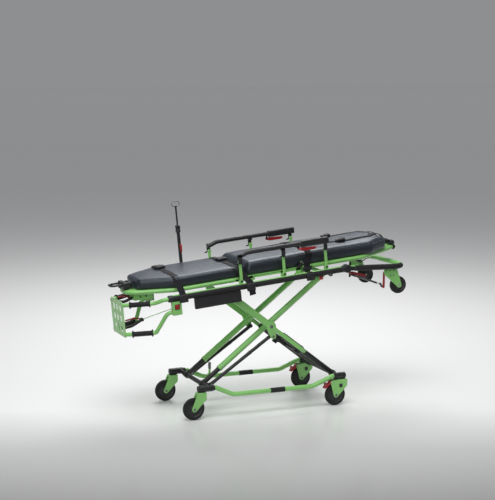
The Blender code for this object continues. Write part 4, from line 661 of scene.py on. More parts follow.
class Piece:
    """Collects closed shells of several materials into one mesh, in a frame of its own."""

    def __init__(self, place=BASE):
        self.mesh = bmesh.new()
        self.place = place
        self.used = []

    def paint(self, faces, material):
        if material not in self.used:
            self.used.append(material)
        for face in faces:
            face.material_index = self.used.index(material)
            face.smooth = True

    def take(self, shape, material):
        """Adds the shells of another bmesh, which it frees."""
        copies = {v: self.mesh.verts.new(self.place @ v.co) for v in shape.verts}
        faces = [self.mesh.faces.new([copies[v] for v in f.verts]) for f in shape.faces]
        shape.free()
        self.paint(faces, material)

    def skin(self, rings, material, loop=False):
        rows = [[self.mesh.verts.new(self.place @ Vector(p)) for p in ring] for ring in rings]
        faces = []
        for a, b in zip(rows, rows[1:] + (rows[:1] if loop else [])):
            for i in range(len(a)):
                j = (i + 1) % len(a)
                faces.append(self.mesh.faces.new((a[i], a[j], b[j], b[i])))
        if not loop:
            faces.append(self.mesh.faces.new(rows[0][::-1]))
            faces.append(self.mesh.faces.new(rows[-1]))
        self.paint(faces, material)

    def tube(self, path, radius, material, sides=20, ease=0.0015):
        path = [Vector(p) for p in path]
        pairs = square_pairs(path)
        ease = min(ease, radius * 0.4)
        lead, tail = (path[1] - path[0]).normalized() * ease, (path[-1] - path[-2]).normalized() * ease
        stops = [(path[0], radius - ease, pairs[0]), (path[0] + lead, radius, pairs[0])]
        stops += [(point, radius, pair) for point, pair in zip(path[1:-1], pairs[1:-1])]
        stops += [(path[-1] - tail, radius, pairs[-1]), (path[-1], radius - ease, pairs[-1])]
        turns = [math.tau * i / sides for i in range(sides)]
        rings = [
            [point + side * math.cos(t) * r + up * math.sin(t) * r for t in turns]
            for point, r, (side, up) in stops
        ]
        self.skin(rings, material)

    def pin(self, spot, ys, *looks):
        """A round bar across the cot, at an (x, z) spot."""
        self.tube([(spot[0], y, spot[1]) for y in ys], *looks)

    def rod(self, xs, spot, *looks):
        """A round bar along the cot, at a (y, z) spot."""
        self.tube([(x, *spot) for x in xs], *looks)

    def turned(self, centre, axis, profile, material, steps=32):
        """A closed profile of (radius, along) pairs, spun about an axis."""
        centre, axis, side, up = cross_axes(centre, axis)
        rings = []
        for i in range(steps):
            turn = math.tau * i / steps
            out = side * math.cos(turn) + up * math.sin(turn)
            rings.append([centre + out * r + axis * along for r, along in profile])
        self.skin(rings, material, loop=True)

    def knob(self, centre, axis, stations, material, sides=24):
        """A solid of round stations (radius, along) with flat ends."""
        centre, axis, side, up = cross_axes(centre, axis)
        turns = [math.tau * i / sides for i in range(sides)]
        rings = [
            [centre + axis * along + (side * math.cos(t) + up * math.sin(t)) * r for t in turns]
            for r, along in stations
        ]
        self.skin(rings, material)

    def bolt(self, centre, axis, radius, height=0.004, material="steel"):
        """A washer, a six-sided head, and a black disc of painted shade where its socket is."""
        self.knob(
            centre, axis,
            [(radius * 1.45, -0.001), (radius * 1.45, height * 0.25), (radius * 1.3, height * 0.35)],
            material
        )
        head = Vector(centre) + Vector(axis).normalized() * height * 0.3
        self.knob(
            head, axis, [(radius, 0), (radius, height * 0.6), (radius * 0.86, height * 0.75)], material, 6
        )
        # The socket is no recess: a black disc on the head, painted shade.
        self.knob(head, axis, [(radius * 0.5, height * 0.5), (radius * 0.45, height * 0.8)], "black", 12)

    def plate(self, outline, low, high, material, ease=0.0012, axis="y"):
        """A flat outline given thickness along an axis, with eased edges."""
        low, high = sorted((low, high))
        ease = min(ease, (high - low) * 0.4)
        small = inset(outline, ease)
        lift = {"y": lambda a, b, t: (a, t, b), "z": lambda a, b, t: (a, b, t)}[axis]
        layers = [(small, low), (outline, low + ease), (outline, high - ease), (small, high)]
        self.skin([[lift(a, b, t) for a, b in layer] for layer, t in layers], material)

    def block(self, low, high, material, ease=0.003, segments=2):
        shape = bmesh.new()
        bmesh.ops.create_cube(shape, size=1.0)
        low, high = Vector(low), Vector(high)
        size = Vector([abs(h - l) for l, h in zip(low, high)])
        middle = (low + high) / 2
        for vertex in shape.verts:
            vertex.co = Vector([m + c * s for m, c, s in zip(middle, vertex.co, size)])
        ease = min(ease, min(size) * 0.45)
        bmesh.ops.bevel(
            shape, geom=shape.edges[:], offset=ease, segments=segments, profile=0.5, affect="EDGES"
        )
        self.take(shape, material)

    def mesh_object(self, name, sharp=SHARP_ANGLE):
        obj = linked(name, self.mesh, self.used, sharp)
        return obj

    def done(self, name, body, *nodes):
        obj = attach(self.mesh_object(name), body)
        if nodes:
            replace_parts(obj, *nodes)
        return obj


# Casters


PROFILE_RADIUS = 0.075
TYRE_PROFILE = [(0.0585, 0.98), (0.0660, 1.0), (0.0715, 0.86), (0.0741, 0.52), (0.0750, 0.18)]
HUB_PROFILE = [
    (0.0072, 0.95), (0.0170, 0.95), (0.0195, 0.80), (0.0300, 0.52),
    (0.0480, 0.52), (0.0530, 0.80), (0.0560, 0.93), (0.0588, 0.93),
]


def wheel(piece, centre, radius, half):
    """A moulded wheel: a tyre with a round tread on a dished hub."""
    scale = radius / PROFILE_RADIUS
    for profile, material, steps in ((TYRE_PROFILE, "rubber", 56), (HUB_PROFILE, "plastic", 48)):
        both = profile + [(r, -y) for r, y in reversed(profile)]
        piece.turned(centre, (0, 1, 0), [(r * scale, y * half) for r, y in both], material, steps)


def make_caster(end, side, sign):
    stem_x = {"foot": FOOT_STEM_X, "head": HEAD_STEM_X}[end]
    place = BASE @ Matrix.Translation((stem_x, sign * HALF_TRACK, 0))
    top = PIVOT_HEIGHT - YOKE_BLOCK_RADIUS - FACE
    inside = WHEEL_WIDTH / 2 + WHEEL_PLAY
    outside = inside + CHEEK_THICKNESS
    axle = (-CASTER_TRAIL, WHEEL_DIAMETER / 2)
    hinge = (-PEDAL_PIVOT_BACK, top - PEDAL_PIVOT_DROP)
    outline = rectangle(
        (-CHEEK_BACK, top - CHEEK_DEPTH), (CHEEK_FRONT, top - 0.004)
    ) + circle(axle, AXLE_BOSS)
    outline += [(CHEEK_FRONT - 0.008, top), (-CHEEK_BACK, top)]
    if end == "head":
        outline += circle(hinge, PEDAL_EAR)
    outline = hull(outline)
    fork = Piece(place)
    for cheek in (-1, 1):
        fork.plate(outline, cheek * inside, cheek * outside, "green", EASE_SHEET)
        fork.bolt((axle[0], cheek * outside, axle[1]), (0, cheek, 0), *AXLE_BOLT, "grey")
        if end == "head":
            fork.bolt((hinge[0], cheek * outside, hinge[1]), (0, cheek, 0), *HINGE_BOLT)
            window = rectangle((-0.030, top - FORK_WINDOW_LOW), (-0.006, top - FORK_WINDOW_HIGH))
            fork.plate(window, cheek * (outside - 0.001), cheek * (outside + 0.0015), "plastic", EASE_TRIM)
    low = (-CHEEK_BACK + GAP, -outside + GAP, top - BRIDGE_THICKNESS)
    fork.block(low, (CHEEK_FRONT - GAP, outside - GAP, top - GAP), "green", EASE_BLOCK)
    fork.knob((0, 0, top), (0, 0, 1), STEM_COLLAR, "steel", 32)
    fork.done(f"fork_{end}_{side}", f"caster_{end}_{side}", f"caster_fork_{end}_{side}")
    rolling = Piece(place)
    wheel(rolling, (axle[0], 0, axle[1]), WHEEL_DIAMETER / 2, WHEEL_WIDTH / 2)
    rolling.done(f"wheel_{end}_{side}", f"wheel_{end}_{side}", f"caster_wheel_{end}_{side}")
    if end == "head":
        make_pedal(side, place, hinge, inside - FACE)


def make_pedal(side, place, hinge, half):
    pedal = Piece(place)
    tip = (hinge[0] - PEDAL_LENGTH, hinge[1] - PEDAL_DROP)
    outline = hull(circle(hinge, PEDAL_EYE, 24) + circle(tip, PEDAL_THICKNESS / 2, 24))
    pedal.plate(outline, -half, half, "red", EASE_PLATE)
    run = Vector((tip[0] - hinge[0], tip[1] - hinge[1])).normalized()
    up = Vector((run.y, -run.x))
    for step in range(PEDAL_RIBS):
        spot = Vector(hinge) + run * (PEDAL_RIB_START + step * PEDAL_RIB_PITCH) + up * PEDAL_RIB_LIFT
        pedal.pin((spot.x, spot.y), (-half * 0.8, half * 0.8), PEDAL_RIB_RADIUS, "red", 10)
    spot = Vector(hinge) + run * PEDAL_LENGTH * 0.95
    pad = hull(circle(spot, 0.008, 24) + circle(spot + up * 0.013 - run * 0.012, 0.007, 24))
    pedal.plate(pad, -half * 1.15, half * 1.15, "red", EASE_SOFT)
    pedal.done(f"pedal_{side}", f"brake_pedal_{side}", f"brake_pedal_{side}")


# Base


def yoke_span(pivot_x, stem_x):
    return min(pivot_x, stem_x) - YOKE_BLOCK_END, max(pivot_x, stem_x) + YOKE_BLOCK_END


def make_yoke(name, pivot_x, stem_x):
    start, end = yoke_span(pivot_x, stem_x)
    z = PIVOT_HEIGHT
    yoke = Piece()
    yoke.pin((pivot_x, z), (-HALF_TRACK, HALF_TRACK), YOKE_RADIUS, "black", 28)
    for sign in SIDES.values():
        y = sign * HALF_TRACK
        yoke.rod((start, end), (y, z), YOKE_BLOCK_RADIUS, "black", 32, EASE_BLOCK)
        for x, way in ((start, -1), (end, 1)):
            yoke.bolt((x, y, z), (way, 0, 0), *YOKE_BOLT, "black")
        seam = (start + end) / 2
        yoke.rod((seam - 0.003, seam + 0.003), (y, z), YOKE_BLOCK_RADIUS + 0.0008, "plastic", 32, EASE_HAIR)
    if name == "foot_yoke":
        lug_in = STRUT_Y + STRUT_RADIUS + FACE
        pin_x = FOOT_PIVOT_X + STRUT_FOOT_REACH
        outline = hull(circle((pivot_x, z), YOKE_RADIUS * 1.25) + circle((pin_x, z), STRUT_EYE))
        for sign in SIDES.values():
            yoke.plate(outline, sign * lug_in, sign * (lug_in + STRUT_LUG_THICKNESS), "black", EASE_SHEET)
            tip = sign * (STRUT_Y - STRUT_RADIUS)
            yoke.pin((pin_x, z), (sign * lug_in, tip), STRUT_PIN, "steel", 16)
            yoke.bolt((pin_x, sign * (lug_in + STRUT_LUG_THICKNESS), z), (0, sign, 0), *LUG_BOLT)
    yoke.done(name + "_fine", "base", name)


def make_base_tube(side, sign):
    start = yoke_span(FOOT_PIVOT_X, FOOT_STEM_X)[1] + GAP
    end = yoke_span(HEAD_PIVOT_X, HEAD_STEM_X)[0] - GAP
    y = sign * HALF_TRACK
    profile = [
        (start, PIVOT_HEIGHT),
        (start + BASE_TUBE_STUB, PIVOT_HEIGHT),
        (start + BASE_RAMP_FOOT, BASE_TUBE_HEIGHT),
        (end - BASE_RAMP_HEAD, BASE_TUBE_HEIGHT),
        (end - BASE_TUBE_STUB, PIVOT_HEIGHT),
        (end, PIVOT_HEIGHT),
    ]
    path = bend([(x, y, z) for x, z in profile], BASE_BEND * 1.6, 9)
    lower = Piece()
    lower.tube(path, BASE_TUBE_RADIUS, "green", 28)
    for x, way in ((start, 1), (end, -1)):
        ends = sorted((x, x + way * 0.012))
        lower.rod((ends[0], ends[1]), (y, PIVOT_HEIGHT), BASE_TUBE_RADIUS + 0.0025, "plastic", 28)
    tape = [(x, y, BASE_TUBE_HEIGHT) for x in TAPE_SPAN]
    lower.tube(tape, BASE_TUBE_RADIUS + 0.0012, "rubber", 28, EASE_FINE)
    lower.done(f"lower_tube_{side}", "base", f"base_tube_{side}")


def make_bump_post():
    post = Piece()
    centre = (BUMP_POST_X, HALF_TRACK, BASE_TUBE_HEIGHT + BASE_TUBE_RADIUS * 0.95)
    shank = [
        (BUMP_POST_RADIUS * 1.25, 0), (BUMP_POST_RADIUS * 1.25, 0.004), (BUMP_POST_RADIUS * 0.8, 0.006)
    ]
    post.knob(centre, (0, 0, 1), [*shank, (BUMP_POST_RADIUS * 0.8, BUMP_POST_HEIGHT)], "green")
    top = BUMP_POST_HEIGHT + BUMP_POST_RADIUS
    cap = [(0.0085, 0.036), (0.0100, 0.040), (0.0100, top - 0.006), (0.0080, top - 0.002), (0.0040, top)]
    post.knob(centre, (0, 0, 1), cap, "grey")
    post.done("bump_post_fine", "base", "bump_post")


# X frame


def make_leg_a():
    half = LEG_SLEEVE_WIDTH / 2
    for side, sign in SIDES.items():
        y = sign * LEG_A_Y
        lower = Piece(LEG_A)
        lower.rod((0.011, LEG_A_SHOWN + 0.02), (y, 0), LEG_A_INNER_RADIUS, "black", 28)
        lower.pin((0, 0), (y - half, y + half), LEG_SLEEVE_RADIUS, "black", 32, EASE_PLATE)
        lower.rod((0.018, 0.030), (y, 0), LEG_A_INNER_RADIUS + 0.003, "black", 28)
        lower.done(f"leg_a_rod_{side}", "leg_a_lower", f"leg_a_lower_{side}")
    top = LEG_LENGTH + LEG_A_REACH
    roller_y = BAR_OUTER_Y + FACE * 8
    roller_end = roller_y + ROLLER_WIDTH
    upper = Piece(LEG_A)
    upper.pin((top, 0), (-roller_end, roller_end), ROLLER_SHAFT, "steel", 20)
    for sign in SIDES.values():
        y = sign * LEG_A_Y
        upper.rod((LEG_A_SHOWN, top + ROLLER_SHAFT * 1.4), (y, 0), LEG_A_RADIUS, "green", 32)
        upper.rod((LEG_A_SHOWN - 0.002, LEG_A_SHOWN + 0.010), (y, 0), LEG_A_RADIUS + 0.0015, "green", 32)
        upper.rod((top + 0.011, top + 0.0145), (y, 0), LEG_A_RADIUS - 0.001, "plastic", 28)
        upper.pin((top, 0), (sign * roller_y, sign * (roller_end - GAP)), ROLLER_RADIUS, "plastic", 28)
        upper.bolt((LEG_A_SHOWN + 0.03, y + sign * LEG_A_RADIUS, 0), (0, sign, 0), *HINGE_BOLT)
    upper.done("leg_a_tubes", "leg_a_upper", "leg_a_upper")


def make_leg_b():
    lower = Piece(LEG_B)
    shroud = SHROUD_THICKNESS / 2
    ear_y = LEG_B_Y - LEG_B_RADIUS / 3
    narrow = LEG_B_Y - SHROUD_SIDE_GAP
    lower.block((-SHROUD_EAR, -ear_y, -shroud), (-SHROUD_START, ear_y, shroud), "plastic", EASE_BLOCK)
    lower.block(
        (-SHROUD_END, -narrow, -shroud + GAP), (-SHROUD_START, narrow, shroud - GAP), "plastic", EASE_BLOCK
    )
    rib_y, rib_z = narrow * SHROUD_RIB_SHARE, shroud + SHROUD_RIB_PROUD
    for step in range(SHROUD_RIBS):
        x = -SHROUD_RIB_START - step * SHROUD_RIB_PITCH
        lower.block(
            (x - SHROUD_RIB_HALF, -rib_y, -rib_z), (x + SHROUD_RIB_HALF, rib_y, rib_z), "plastic", EASE_FINE
        )
    half = LEG_SLEEVE_WIDTH / 2
    for sign in SIDES.values():
        y = sign * LEG_B_Y
        lower.rod((-0.011, -LEG_B_TUBE), (y, 0), LEG_B_RADIUS, "black", 28)
        lower.pin((0, 0), (y - half, y + half), LEG_SLEEVE_RADIUS, "black", 32, EASE_PLATE)
    lower.done("leg_b_tubes", "leg_b_lower", "leg_b_lower")
    upper = Piece(LEG_B)
    cross, head = -LEG_LENGTH, -LEG_LENGTH - LEG_B_REACH
    lug = (cross - STRUT_LUG_ALONG, STRUT_LUG_PERP)
    tongue_end = cross + TONGUE_LENGTH
    bar = hull(circle((cross, 0), BAR_HALF_WIDTH) + circle((head, 0), BAR_HEAD_RADIUS))
    bracket = hull(circle((cross, 0), BRACKET_RADIUS) + circle(lug, STRUT_EYE * 1.5))
    tongue = hull(circle((cross, 0), TONGUE_HALF_WIDTH) + circle((tongue_end, 0), TONGUE_HALF_WIDTH))
    web_y = BAR_INNER_Y + BAR_THICKNESS / 3
    low = (head + WEB_END, -web_y, WEB_RISE)
    upper.block(low, (cross - WEB_START, web_y, WEB_RISE + WEB_THICKNESS), "green", EASE_SHEET)
    for sign in SIDES.values():
        inner, outer = sign * BAR_INNER_Y, sign * BAR_OUTER_Y
        step = sign * GAP * 2
        upper.plate(bar, inner, outer, "green", EASE_SOFT)
        upper.plate(bracket, inner - step, outer + step, "green", EASE_PLATE)
        upper.plate(tongue, inner + step, outer - step, "green", EASE_PLATE)
        upper.bolt((cross, outer + step, 0), (0, sign, 0), *CROSS_BOLT, "grey")
        upper.bolt((lug[0], outer + step, lug[1]), (0, sign, 0), *LUG_BOLT, "grey")
        upper.bolt((tongue_end - 0.004, outer - step, 0), (0, sign, 0), *TONGUE_BOLT)
        boss_in = sign * (STRUT_Y + STRUT_RADIUS + FACE)
        upper.pin((lug[0], lug[1]), (boss_in, inner + step), STRUT_BOSS, "green", 24)
        y = sign * LEG_B_Y
        guide = tongue_end - GUIDE_WALL
        radius = LEG_B_RADIUS + GUIDE_WALL
        upper.rod((guide - GUIDE_LENGTH, guide), (y, 0), radius, "black", 32)
        upper.rod((guide - 0.022, guide - GAP), (y, 0), radius + 0.0015, "plastic", 32)
        clamp = (guide - 0.040, y - 0.010, -radius - 0.016)
        upper.block(clamp, (guide - 0.006, y + 0.010, -radius + 0.004), "plastic", EASE_SOFT)
    upper.done("leg_b_bars", "leg_b_upper", "leg_b_upper")


def make_struts():
    foot = Vector((FOOT_PIVOT_X + STRUT_FOOT_REACH, PIVOT_HEIGHT))
    along = Vector((-math.cos(LEG_ANGLE), math.sin(LEG_ANGLE)))
    square = Vector((math.sin(LEG_ANGLE), math.cos(LEG_ANGLE)))
    lug = Vector((CROSS_X, CROSS_HEIGHT)) + STRUT_LUG_ALONG * along + STRUT_LUG_PERP * square
    run = lug - foot
    place = BASE @ placed(foot.x, foot.y, -math.atan2(run.y, run.x))
    for side, sign in SIDES.items():
        y = sign * STRUT_Y
        half = STRUT_RADIUS * 0.92
        rod = Piece(place)
        rod.rod((0.006, run.length - 0.004), (y, 0), STRUT_RADIUS, "black", 24)
        for x in (0, run.length):
            rod.pin((x, 0), (y - half, y + half), STRUT_EYE, "black", 28, EASE_SHEET)
        rod.rod((run.length * 0.62, run.length * 0.66), (y, 0), STRUT_RADIUS + 0.0012, "plastic", 24)
        rod.done(f"strut_rod_{side}", "struts", f"strut_{side}")


# Litter


def pivot_stand(piece, u, sign):
    inner = sign * (POST_Y - POST_THICKNESS / 2 - FACE - STAND_THICKNESS)
    face = sign * (POST_Y - POST_THICKNESS / 2 - FACE)
    outline = hull(
        circle((u, GUARD_PIVOT_W), GUARD_EYE) + rectangle(
            (u - GUARD_EYE, RAIL_RADIUS / 3), (u + GUARD_EYE, RAIL_RADIUS)
        )
    )
    piece.plate(outline, inner, face, "green", EASE_SHEET)
    piece.pin((u, GUARD_PIVOT_W), (face, sign * (POST_Y + POST_THICKNESS / 2)), 0.005, "steel", 16)
    piece.bolt(
        (u, sign * (POST_Y + POST_THICKNESS / 2 + FACE), GUARD_PIVOT_W), (0, sign, 0), *STAND_BOLT, "black"
    )


def rail_strip(piece, sign):
    """The bright top edge of the rail's extrusion, over the black bumper."""
    turns = [math.radians(58 + 6 * i) for i in range(12)]
    outer, inner = RAIL_RADIUS + 0.0010, RAIL_RADIUS - 0.003
    ring = [(outer * math.cos(t), outer * math.sin(t)) for t in turns]
    ring += [(inner * math.cos(t), inner * math.sin(t)) for t in reversed(turns)]
    piece.skin(
        [[(u, sign * (RAIL_Y + v), w) for v, w in ring] for u in (RAIL_FOOT_U + 0.030, KNUCKLE_U - 0.045)],
        "green"
    )


def make_side_rail(side, sign):
    y = sign * RAIL_Y
    rail = Piece(LITTER)
    rail.rod((RAIL_FOOT_U, KNUCKLE_U - 0.01), (y, 0), RAIL_RADIUS, "rubber", 40, EASE_PLATE)
    rail_strip(rail, sign)
    rail.rod((RAIL_FOOT_U, RAIL_FOOT_U + 0.028), (y, 0), RAIL_RADIUS + 0.0015, "plastic", 36, EASE_PLATE)
    rail.rod(
        (KNUCKLE_U - 0.044, KNUCKLE_U - 0.018), (y, 0), RAIL_RADIUS + 0.0012, "plastic", 36, EASE_PLATE
    )
    hub = (KNUCKLE_U, sign * (RAIL_Y - KNUCKLE_WIDTH), 0)
    rail.tube([hub, (KNUCKLE_U, sign * (RAIL_Y - GAP), 0)], KNUCKLE_RADIUS, "plastic", 40, EASE_PLATE)
    rail.bolt(hub, (0, -sign, 0), *KNUCKLE_BOLT, "black")
    for u in GUARD_POST_U:
        pivot_stand(rail, u, sign)
    if side == "far":
        pivot_stand(rail, POLE_U, sign)
    u, w = LITTER_PIVOT
    inner = BAR_OUTER_Y + FACE * 4
    lug = hull(
        circle((u, w), LUG_RADIUS) + rectangle(
            (u - LUG_TAB / 2, -RAIL_RADIUS / 2), (u + LUG_TAB / 2, RAIL_RADIUS / 4)
        )
    )
    rail.plate(lug, sign * inner, sign * (inner + LUG_THICKNESS), "green", EASE_SHEET)
    rail.block(
        (u - LUG_TAB / 2, sign * inner, -RAIL_RADIUS / 3),
        (u + LUG_TAB / 2, sign * RAIL_Y, RAIL_RADIUS / 5), "green", EASE_FINE
    )
    rail.pin((u, w), (sign * (BAR_INNER_Y - 0.003), sign * (inner + LUG_THICKNESS)), 0.007, "steel", 20)
    rail.bolt((u, sign * (inner + LUG_THICKNESS), w), (0, sign, 0), *PIVOT_BOLT)
    low = ROLLER_PLACE[1] + ROLLER_RADIUS + TRACK_CLEARANCE
    outer = RAIL_Y - RAIL_RADIUS * 0.9
    rail.block(
        (TRACK_START_U, sign * inner, low), (TRACK_END_U, sign * outer, low + TRACK_THICKNESS), "green",
        EASE_FINE
    )
    wall = (sign * (RAIL_Y - RAIL_RADIUS * 1.15), sign * (RAIL_Y - RAIL_RADIUS * 0.6))
    rail.block(
        (TRACK_START_U, wall[0], -RAIL_RADIUS / 2), (KNUCKLE_U, wall[1], RAIL_RADIUS / 2), "green",
        EASE_FINE
    )
    if side == "near":
        top = -RAIL_RADIUS
        low = (STOP_U - STOP_HALF, y - STOP_HALF, top - STOP_HEIGHT)
        rail.block(low, (STOP_U + STOP_HALF, y + STOP_HALF, top), "red", EASE_SOFT)
        long, wide = STOP_BASE_HALF
        low = (STOP_U - long, y - wide, top - 0.003)
        rail.block(low, (STOP_U + long, y + wide, top + 0.006), "black", EASE_PLATE)
    rail.done(f"rail_{side}", "litter", f"side_rail_{side}")


def make_head_cross():
    end = RAIL_Y - RAIL_RADIUS - GAP
    cross = Piece(LITTER)
    cross.pin((HEAD_CROSS_U, 0), (-end, end), HEAD_CROSS_RADIUS, "green", 24)
    for sign in SIDES.values():
        ends = [(HEAD_CROSS_U, sign * (end - 0.010), 0), (HEAD_CROSS_U, sign * end, 0)]
        cross.tube(ends, HEAD_CROSS_RADIUS + 0.002, "green", 24)
    cross.done("head_cross", "litter", "head_cross_tube")


def make_side_panel():
    """A bare panel with a thin raised border."""
    top = -RAIL_RADIUS - GAP
    low, high = (PANEL_FOOT_U, top - PANEL_HEIGHT), (PANEL_FOOT_U + PANEL_LENGTH, top)
    half = PANEL_THICKNESS / 2
    panel = Piece(LITTER)
    panel.block(
        (low[0], -RAIL_Y - half + 0.0015, low[1]), (high[0], -RAIL_Y + half, high[1]), "plastic",
        EASE_BLOCK, 3
    )
    face = -RAIL_Y - half
    for a, b in (
        ((low[0], low[1]), (high[0], low[1] + PANEL_BORDER)),
        ((low[0], high[1] - PANEL_BORDER), (high[0], high[1])),
        ((low[0], low[1]), (low[0] + PANEL_BORDER, high[1])),
        ((high[0] - PANEL_BORDER, low[1]), (high[0], high[1])),
    ):
        panel.block((a[0], face, a[1]), (b[0], face + PANEL_BORDER_DEPTH, b[1]), "plastic", EASE_RIM)
    for u in (low[0] + PANEL_BOLT_INSET, high[0] - PANEL_BOLT_INSET):
        panel.bolt((u, face + 0.0015, top - PANEL_BOLT_DROP), (0, -1, 0), *PANEL_BOLT, "black")
    panel.done("panel", "litter", "side_panel")


FLANGE_WINDOW_LOW = 0.014
FLANGE_WINDOW_HIGH = 0.041
FLANGE_STILE = 0.036


def make_seat_deck():
    outer = RAIL_Y - RAIL_RADIUS - GAP
    inner = outer - FLANGE_THICKNESS
    low = SEAT_DECK_W - DECK_THICKNESS
    deck = Piece(LITTER)
    deck.block((SEAT_FOOT_U, -outer, low), (SEAT_HEAD_U, outer, SEAT_DECK_W), "green", EASE_SHEET)
    start, end, top = SEAT_FOOT_U + GAP, SEAT_HEAD_U - GAP, SEAT_DECK_W - GAP
    strips = [
        rectangle((start, -FLANGE_DROP), (end, FLANGE_WINDOW_LOW)),
        rectangle((start, FLANGE_WINDOW_HIGH), (end, top)),
    ]
    for left, right in (
        (start, start + FLANGE_STILE), (GUARD_POST_U[1] - 0.018, GUARD_POST_U[1] + 0.018),
        (end - FLANGE_STILE, end)
    ):
        strips.append(rectangle((left, -FLANGE_DROP), (right, top)))
    back_ear = hull(
        circle((BACK_HINGE_U, BACK_HINGE_W), SECTION_EYE) + rectangle(
            (SEAT_HEAD_U - 0.030, low), (SEAT_HEAD_U, SEAT_DECK_W)
        )
    )
    leg_ear = hull(
        circle((LEG_HINGE_U, LEG_FRAME_W), SECTION_EYE)
        + rectangle((SEAT_FOOT_U, SEAT_DECK_W - 0.030), (SEAT_FOOT_U + 0.050, SEAT_DECK_W))
    )
    for sign in SIDES.values():
        for strip in strips:
            deck.plate(strip, sign * inner, sign * outer, "green", EASE_HAIR)
        for ear, (u, w) in (
            (back_ear, (BACK_HINGE_U, BACK_HINGE_W)), (leg_ear, (LEG_HINGE_U, LEG_FRAME_W))
        ):
            colour = "black" if ear is back_ear else "green"
            deck.plate(ear, sign * (inner + GAP), sign * (outer - GAP), colour, EASE_FINE)
            deck.pin((u, w), (sign * (inner - 0.010), sign * outer), 0.006, "steel", 16)
        for u in (SEAT_FOOT_U + FLANGE_STILE / 2, SEAT_HEAD_U - FLANGE_STILE / 2):
            deck.bolt((u, sign * inner, 0.012), (0, -sign, 0), *YOKE_BOLT)
    deck.done("seat_plate", "litter", "seat_deck")


def section_loop(start, taper, end, end_half):
    corner = end - (end - taper) * 0.12
    half = [
        (start, SECTION_HALF_WIDTH), (taper, SECTION_HALF_WIDTH), (corner, end_half), (end, end_half * 0.6)
    ]
    return [(u, -v) for u, v in half] + [(u, v) for u, v in reversed(half)]


def add_section(piece, hinge, frame_w, start, taper, end, end_half):
    """A bed section: bent tube, deck sheet, two hinge arms and three braces."""
    path = bend([(u, v, frame_w) for u, v in section_loop(start, taper, end, end_half)], SECTION_BEND, 9)
    piece.tube(path, SECTION_TUBE_RADIUS, "green", 24)
    step = 1 if start > hinge[0] else -1
    sheet = [(p.x, p.y * 0.985) for p in path]
    sheet[0] = (sheet[0][0] + step * 0.007, sheet[0][1])
    sheet[-1] = (sheet[-1][0] + step * 0.007, sheet[-1][1])
    top = frame_w + SECTION_TUBE_RADIUS
    piece.plate(sheet, top - DECK_THICKNESS, top, "green", EASE_FINE, "z")
    outside = RAIL_Y - RAIL_RADIUS - GAP - FLANGE_THICKNESS - FACE
    for sign in SIDES.values():
        arm_us = sorted((start, start + step * 0.060))
        arm = hull(
            circle(hinge, SECTION_EYE) + rectangle(
                (arm_us[0], frame_w - 0.010), (arm_us[1], frame_w + 0.008)
            )
        )
        piece.plate(arm, sign * (outside - SECTION_EYE_WIDTH), sign * outside, "green", EASE_FINE)
        us = sorted((start + step * 0.012, start + step * 0.058))
        piece.block(
            (us[0], sign * SECTION_HALF_WIDTH, frame_w - 0.008), (us[1], sign * outside, frame_w + 0.006),
            "green", EASE_FINE
        )
    for u in (start + (taper - start) * t for t in (0.25, 0.5, 0.75)):
        brace = frame_w - SECTION_TUBE_RADIUS * 0.2
        ends = [(u, -SECTION_HALF_WIDTH, brace), (u, SECTION_HALF_WIDTH, brace)]
        piece.tube(ends, SECTION_TUBE_RADIUS * 0.55, "green", 16)


def release_box_top():
    return LEG_FRAME_W + SECTION_TUBE_RADIUS - DECK_THICKNESS / 2


def make_leg_frame():
    leg = Piece(LITTER)
    start = LEG_HINGE_U - SECTION_EYE - FACE
    add_section(
        leg, (LEG_HINGE_U, LEG_FRAME_W), LEG_FRAME_W, start, LEG_TAPER_U, LEG_END_U, LEG_END_HALF_WIDTH
    )
    u, top = LEG_END_U + RELEASE_BOX_INSET, release_box_top()
    half = RELEASE_BOX_WIDTH / 2
    leg.block(
        (u, -half, top - RELEASE_BOX_HEIGHT), (u + RELEASE_BOX_LENGTH, half, top), "green", EASE_BLOCK
    )
    for sign in SIDES.values():
        # Black discs on the box faces stand for its holes: painted shade, with no opening cut.
        for du, dw in BOX_HOLE_SHADE_DISCS:
            leg.knob(
                (u + du, sign * half, top - dw), (0, sign, 0), [(0.006, -0.001), (0.0058, 0.0008)], "black",
                20
            )
    leg.done("leg_section_frame", "leg_section", "leg_frame")
    make_pull_handle()


def make_pull_handle():
    top = LEG_FRAME_W + PULL_HANDLE_RISE
    inner, outer = LEG_END_U + SECTION_TUBE_RADIUS * 2.4, LEG_END_U - PULL_HANDLE_REACH
    near, far = PULL_HANDLE_Y - PULL_HANDLE_WIDTH / 2, PULL_HANDLE_Y + PULL_HANDLE_WIDTH / 2
    pull = Piece(LITTER)
    path = bend(
        [(inner, near, top), (outer, near, top), (outer, far, top), (inner, far, top)],
        PULL_HANDLE_BEND * 1.2
    )
    pull.tube(path, PULL_HANDLE_RADIUS, "plastic", 18)
    grip = [(outer, near + 0.026, top), (outer, far - 0.026, top)]
    pull.tube(grip, PULL_HANDLE_RADIUS, "rubber", 18)
    foot = LEG_FRAME_W + SECTION_TUBE_RADIUS
    for y in (near, far):
        stem = [
            (PULL_POST_RADIUS * 1.35, foot), (PULL_POST_RADIUS * 1.35, foot + 0.005),
            (PULL_POST_RADIUS, foot + 0.008)
        ]
        stem += [(PULL_POST_RADIUS, top + 0.006), (PULL_POST_RADIUS * 0.75, top + PULL_HANDLE_RADIUS * 1.3)]
        pull.knob((inner, y, 0), (0, 0, 1), stem, "plastic")
        low = (LEG_END_U - 0.016, y - 0.024, foot - 0.003)
        pull.block(low, (LEG_END_U + 0.018, y + 0.024, top + 0.014), "plastic", EASE_ROUND, 4)
        low = (LEG_END_U - 0.019, y - 0.027, foot + 0.012)
        pull.block(low, (LEG_END_U + 0.021, y + 0.027, foot + 0.024), "plastic", EASE_SOFT)
    pull.done("pull_handle", "leg_section", "foot_pull_handle")


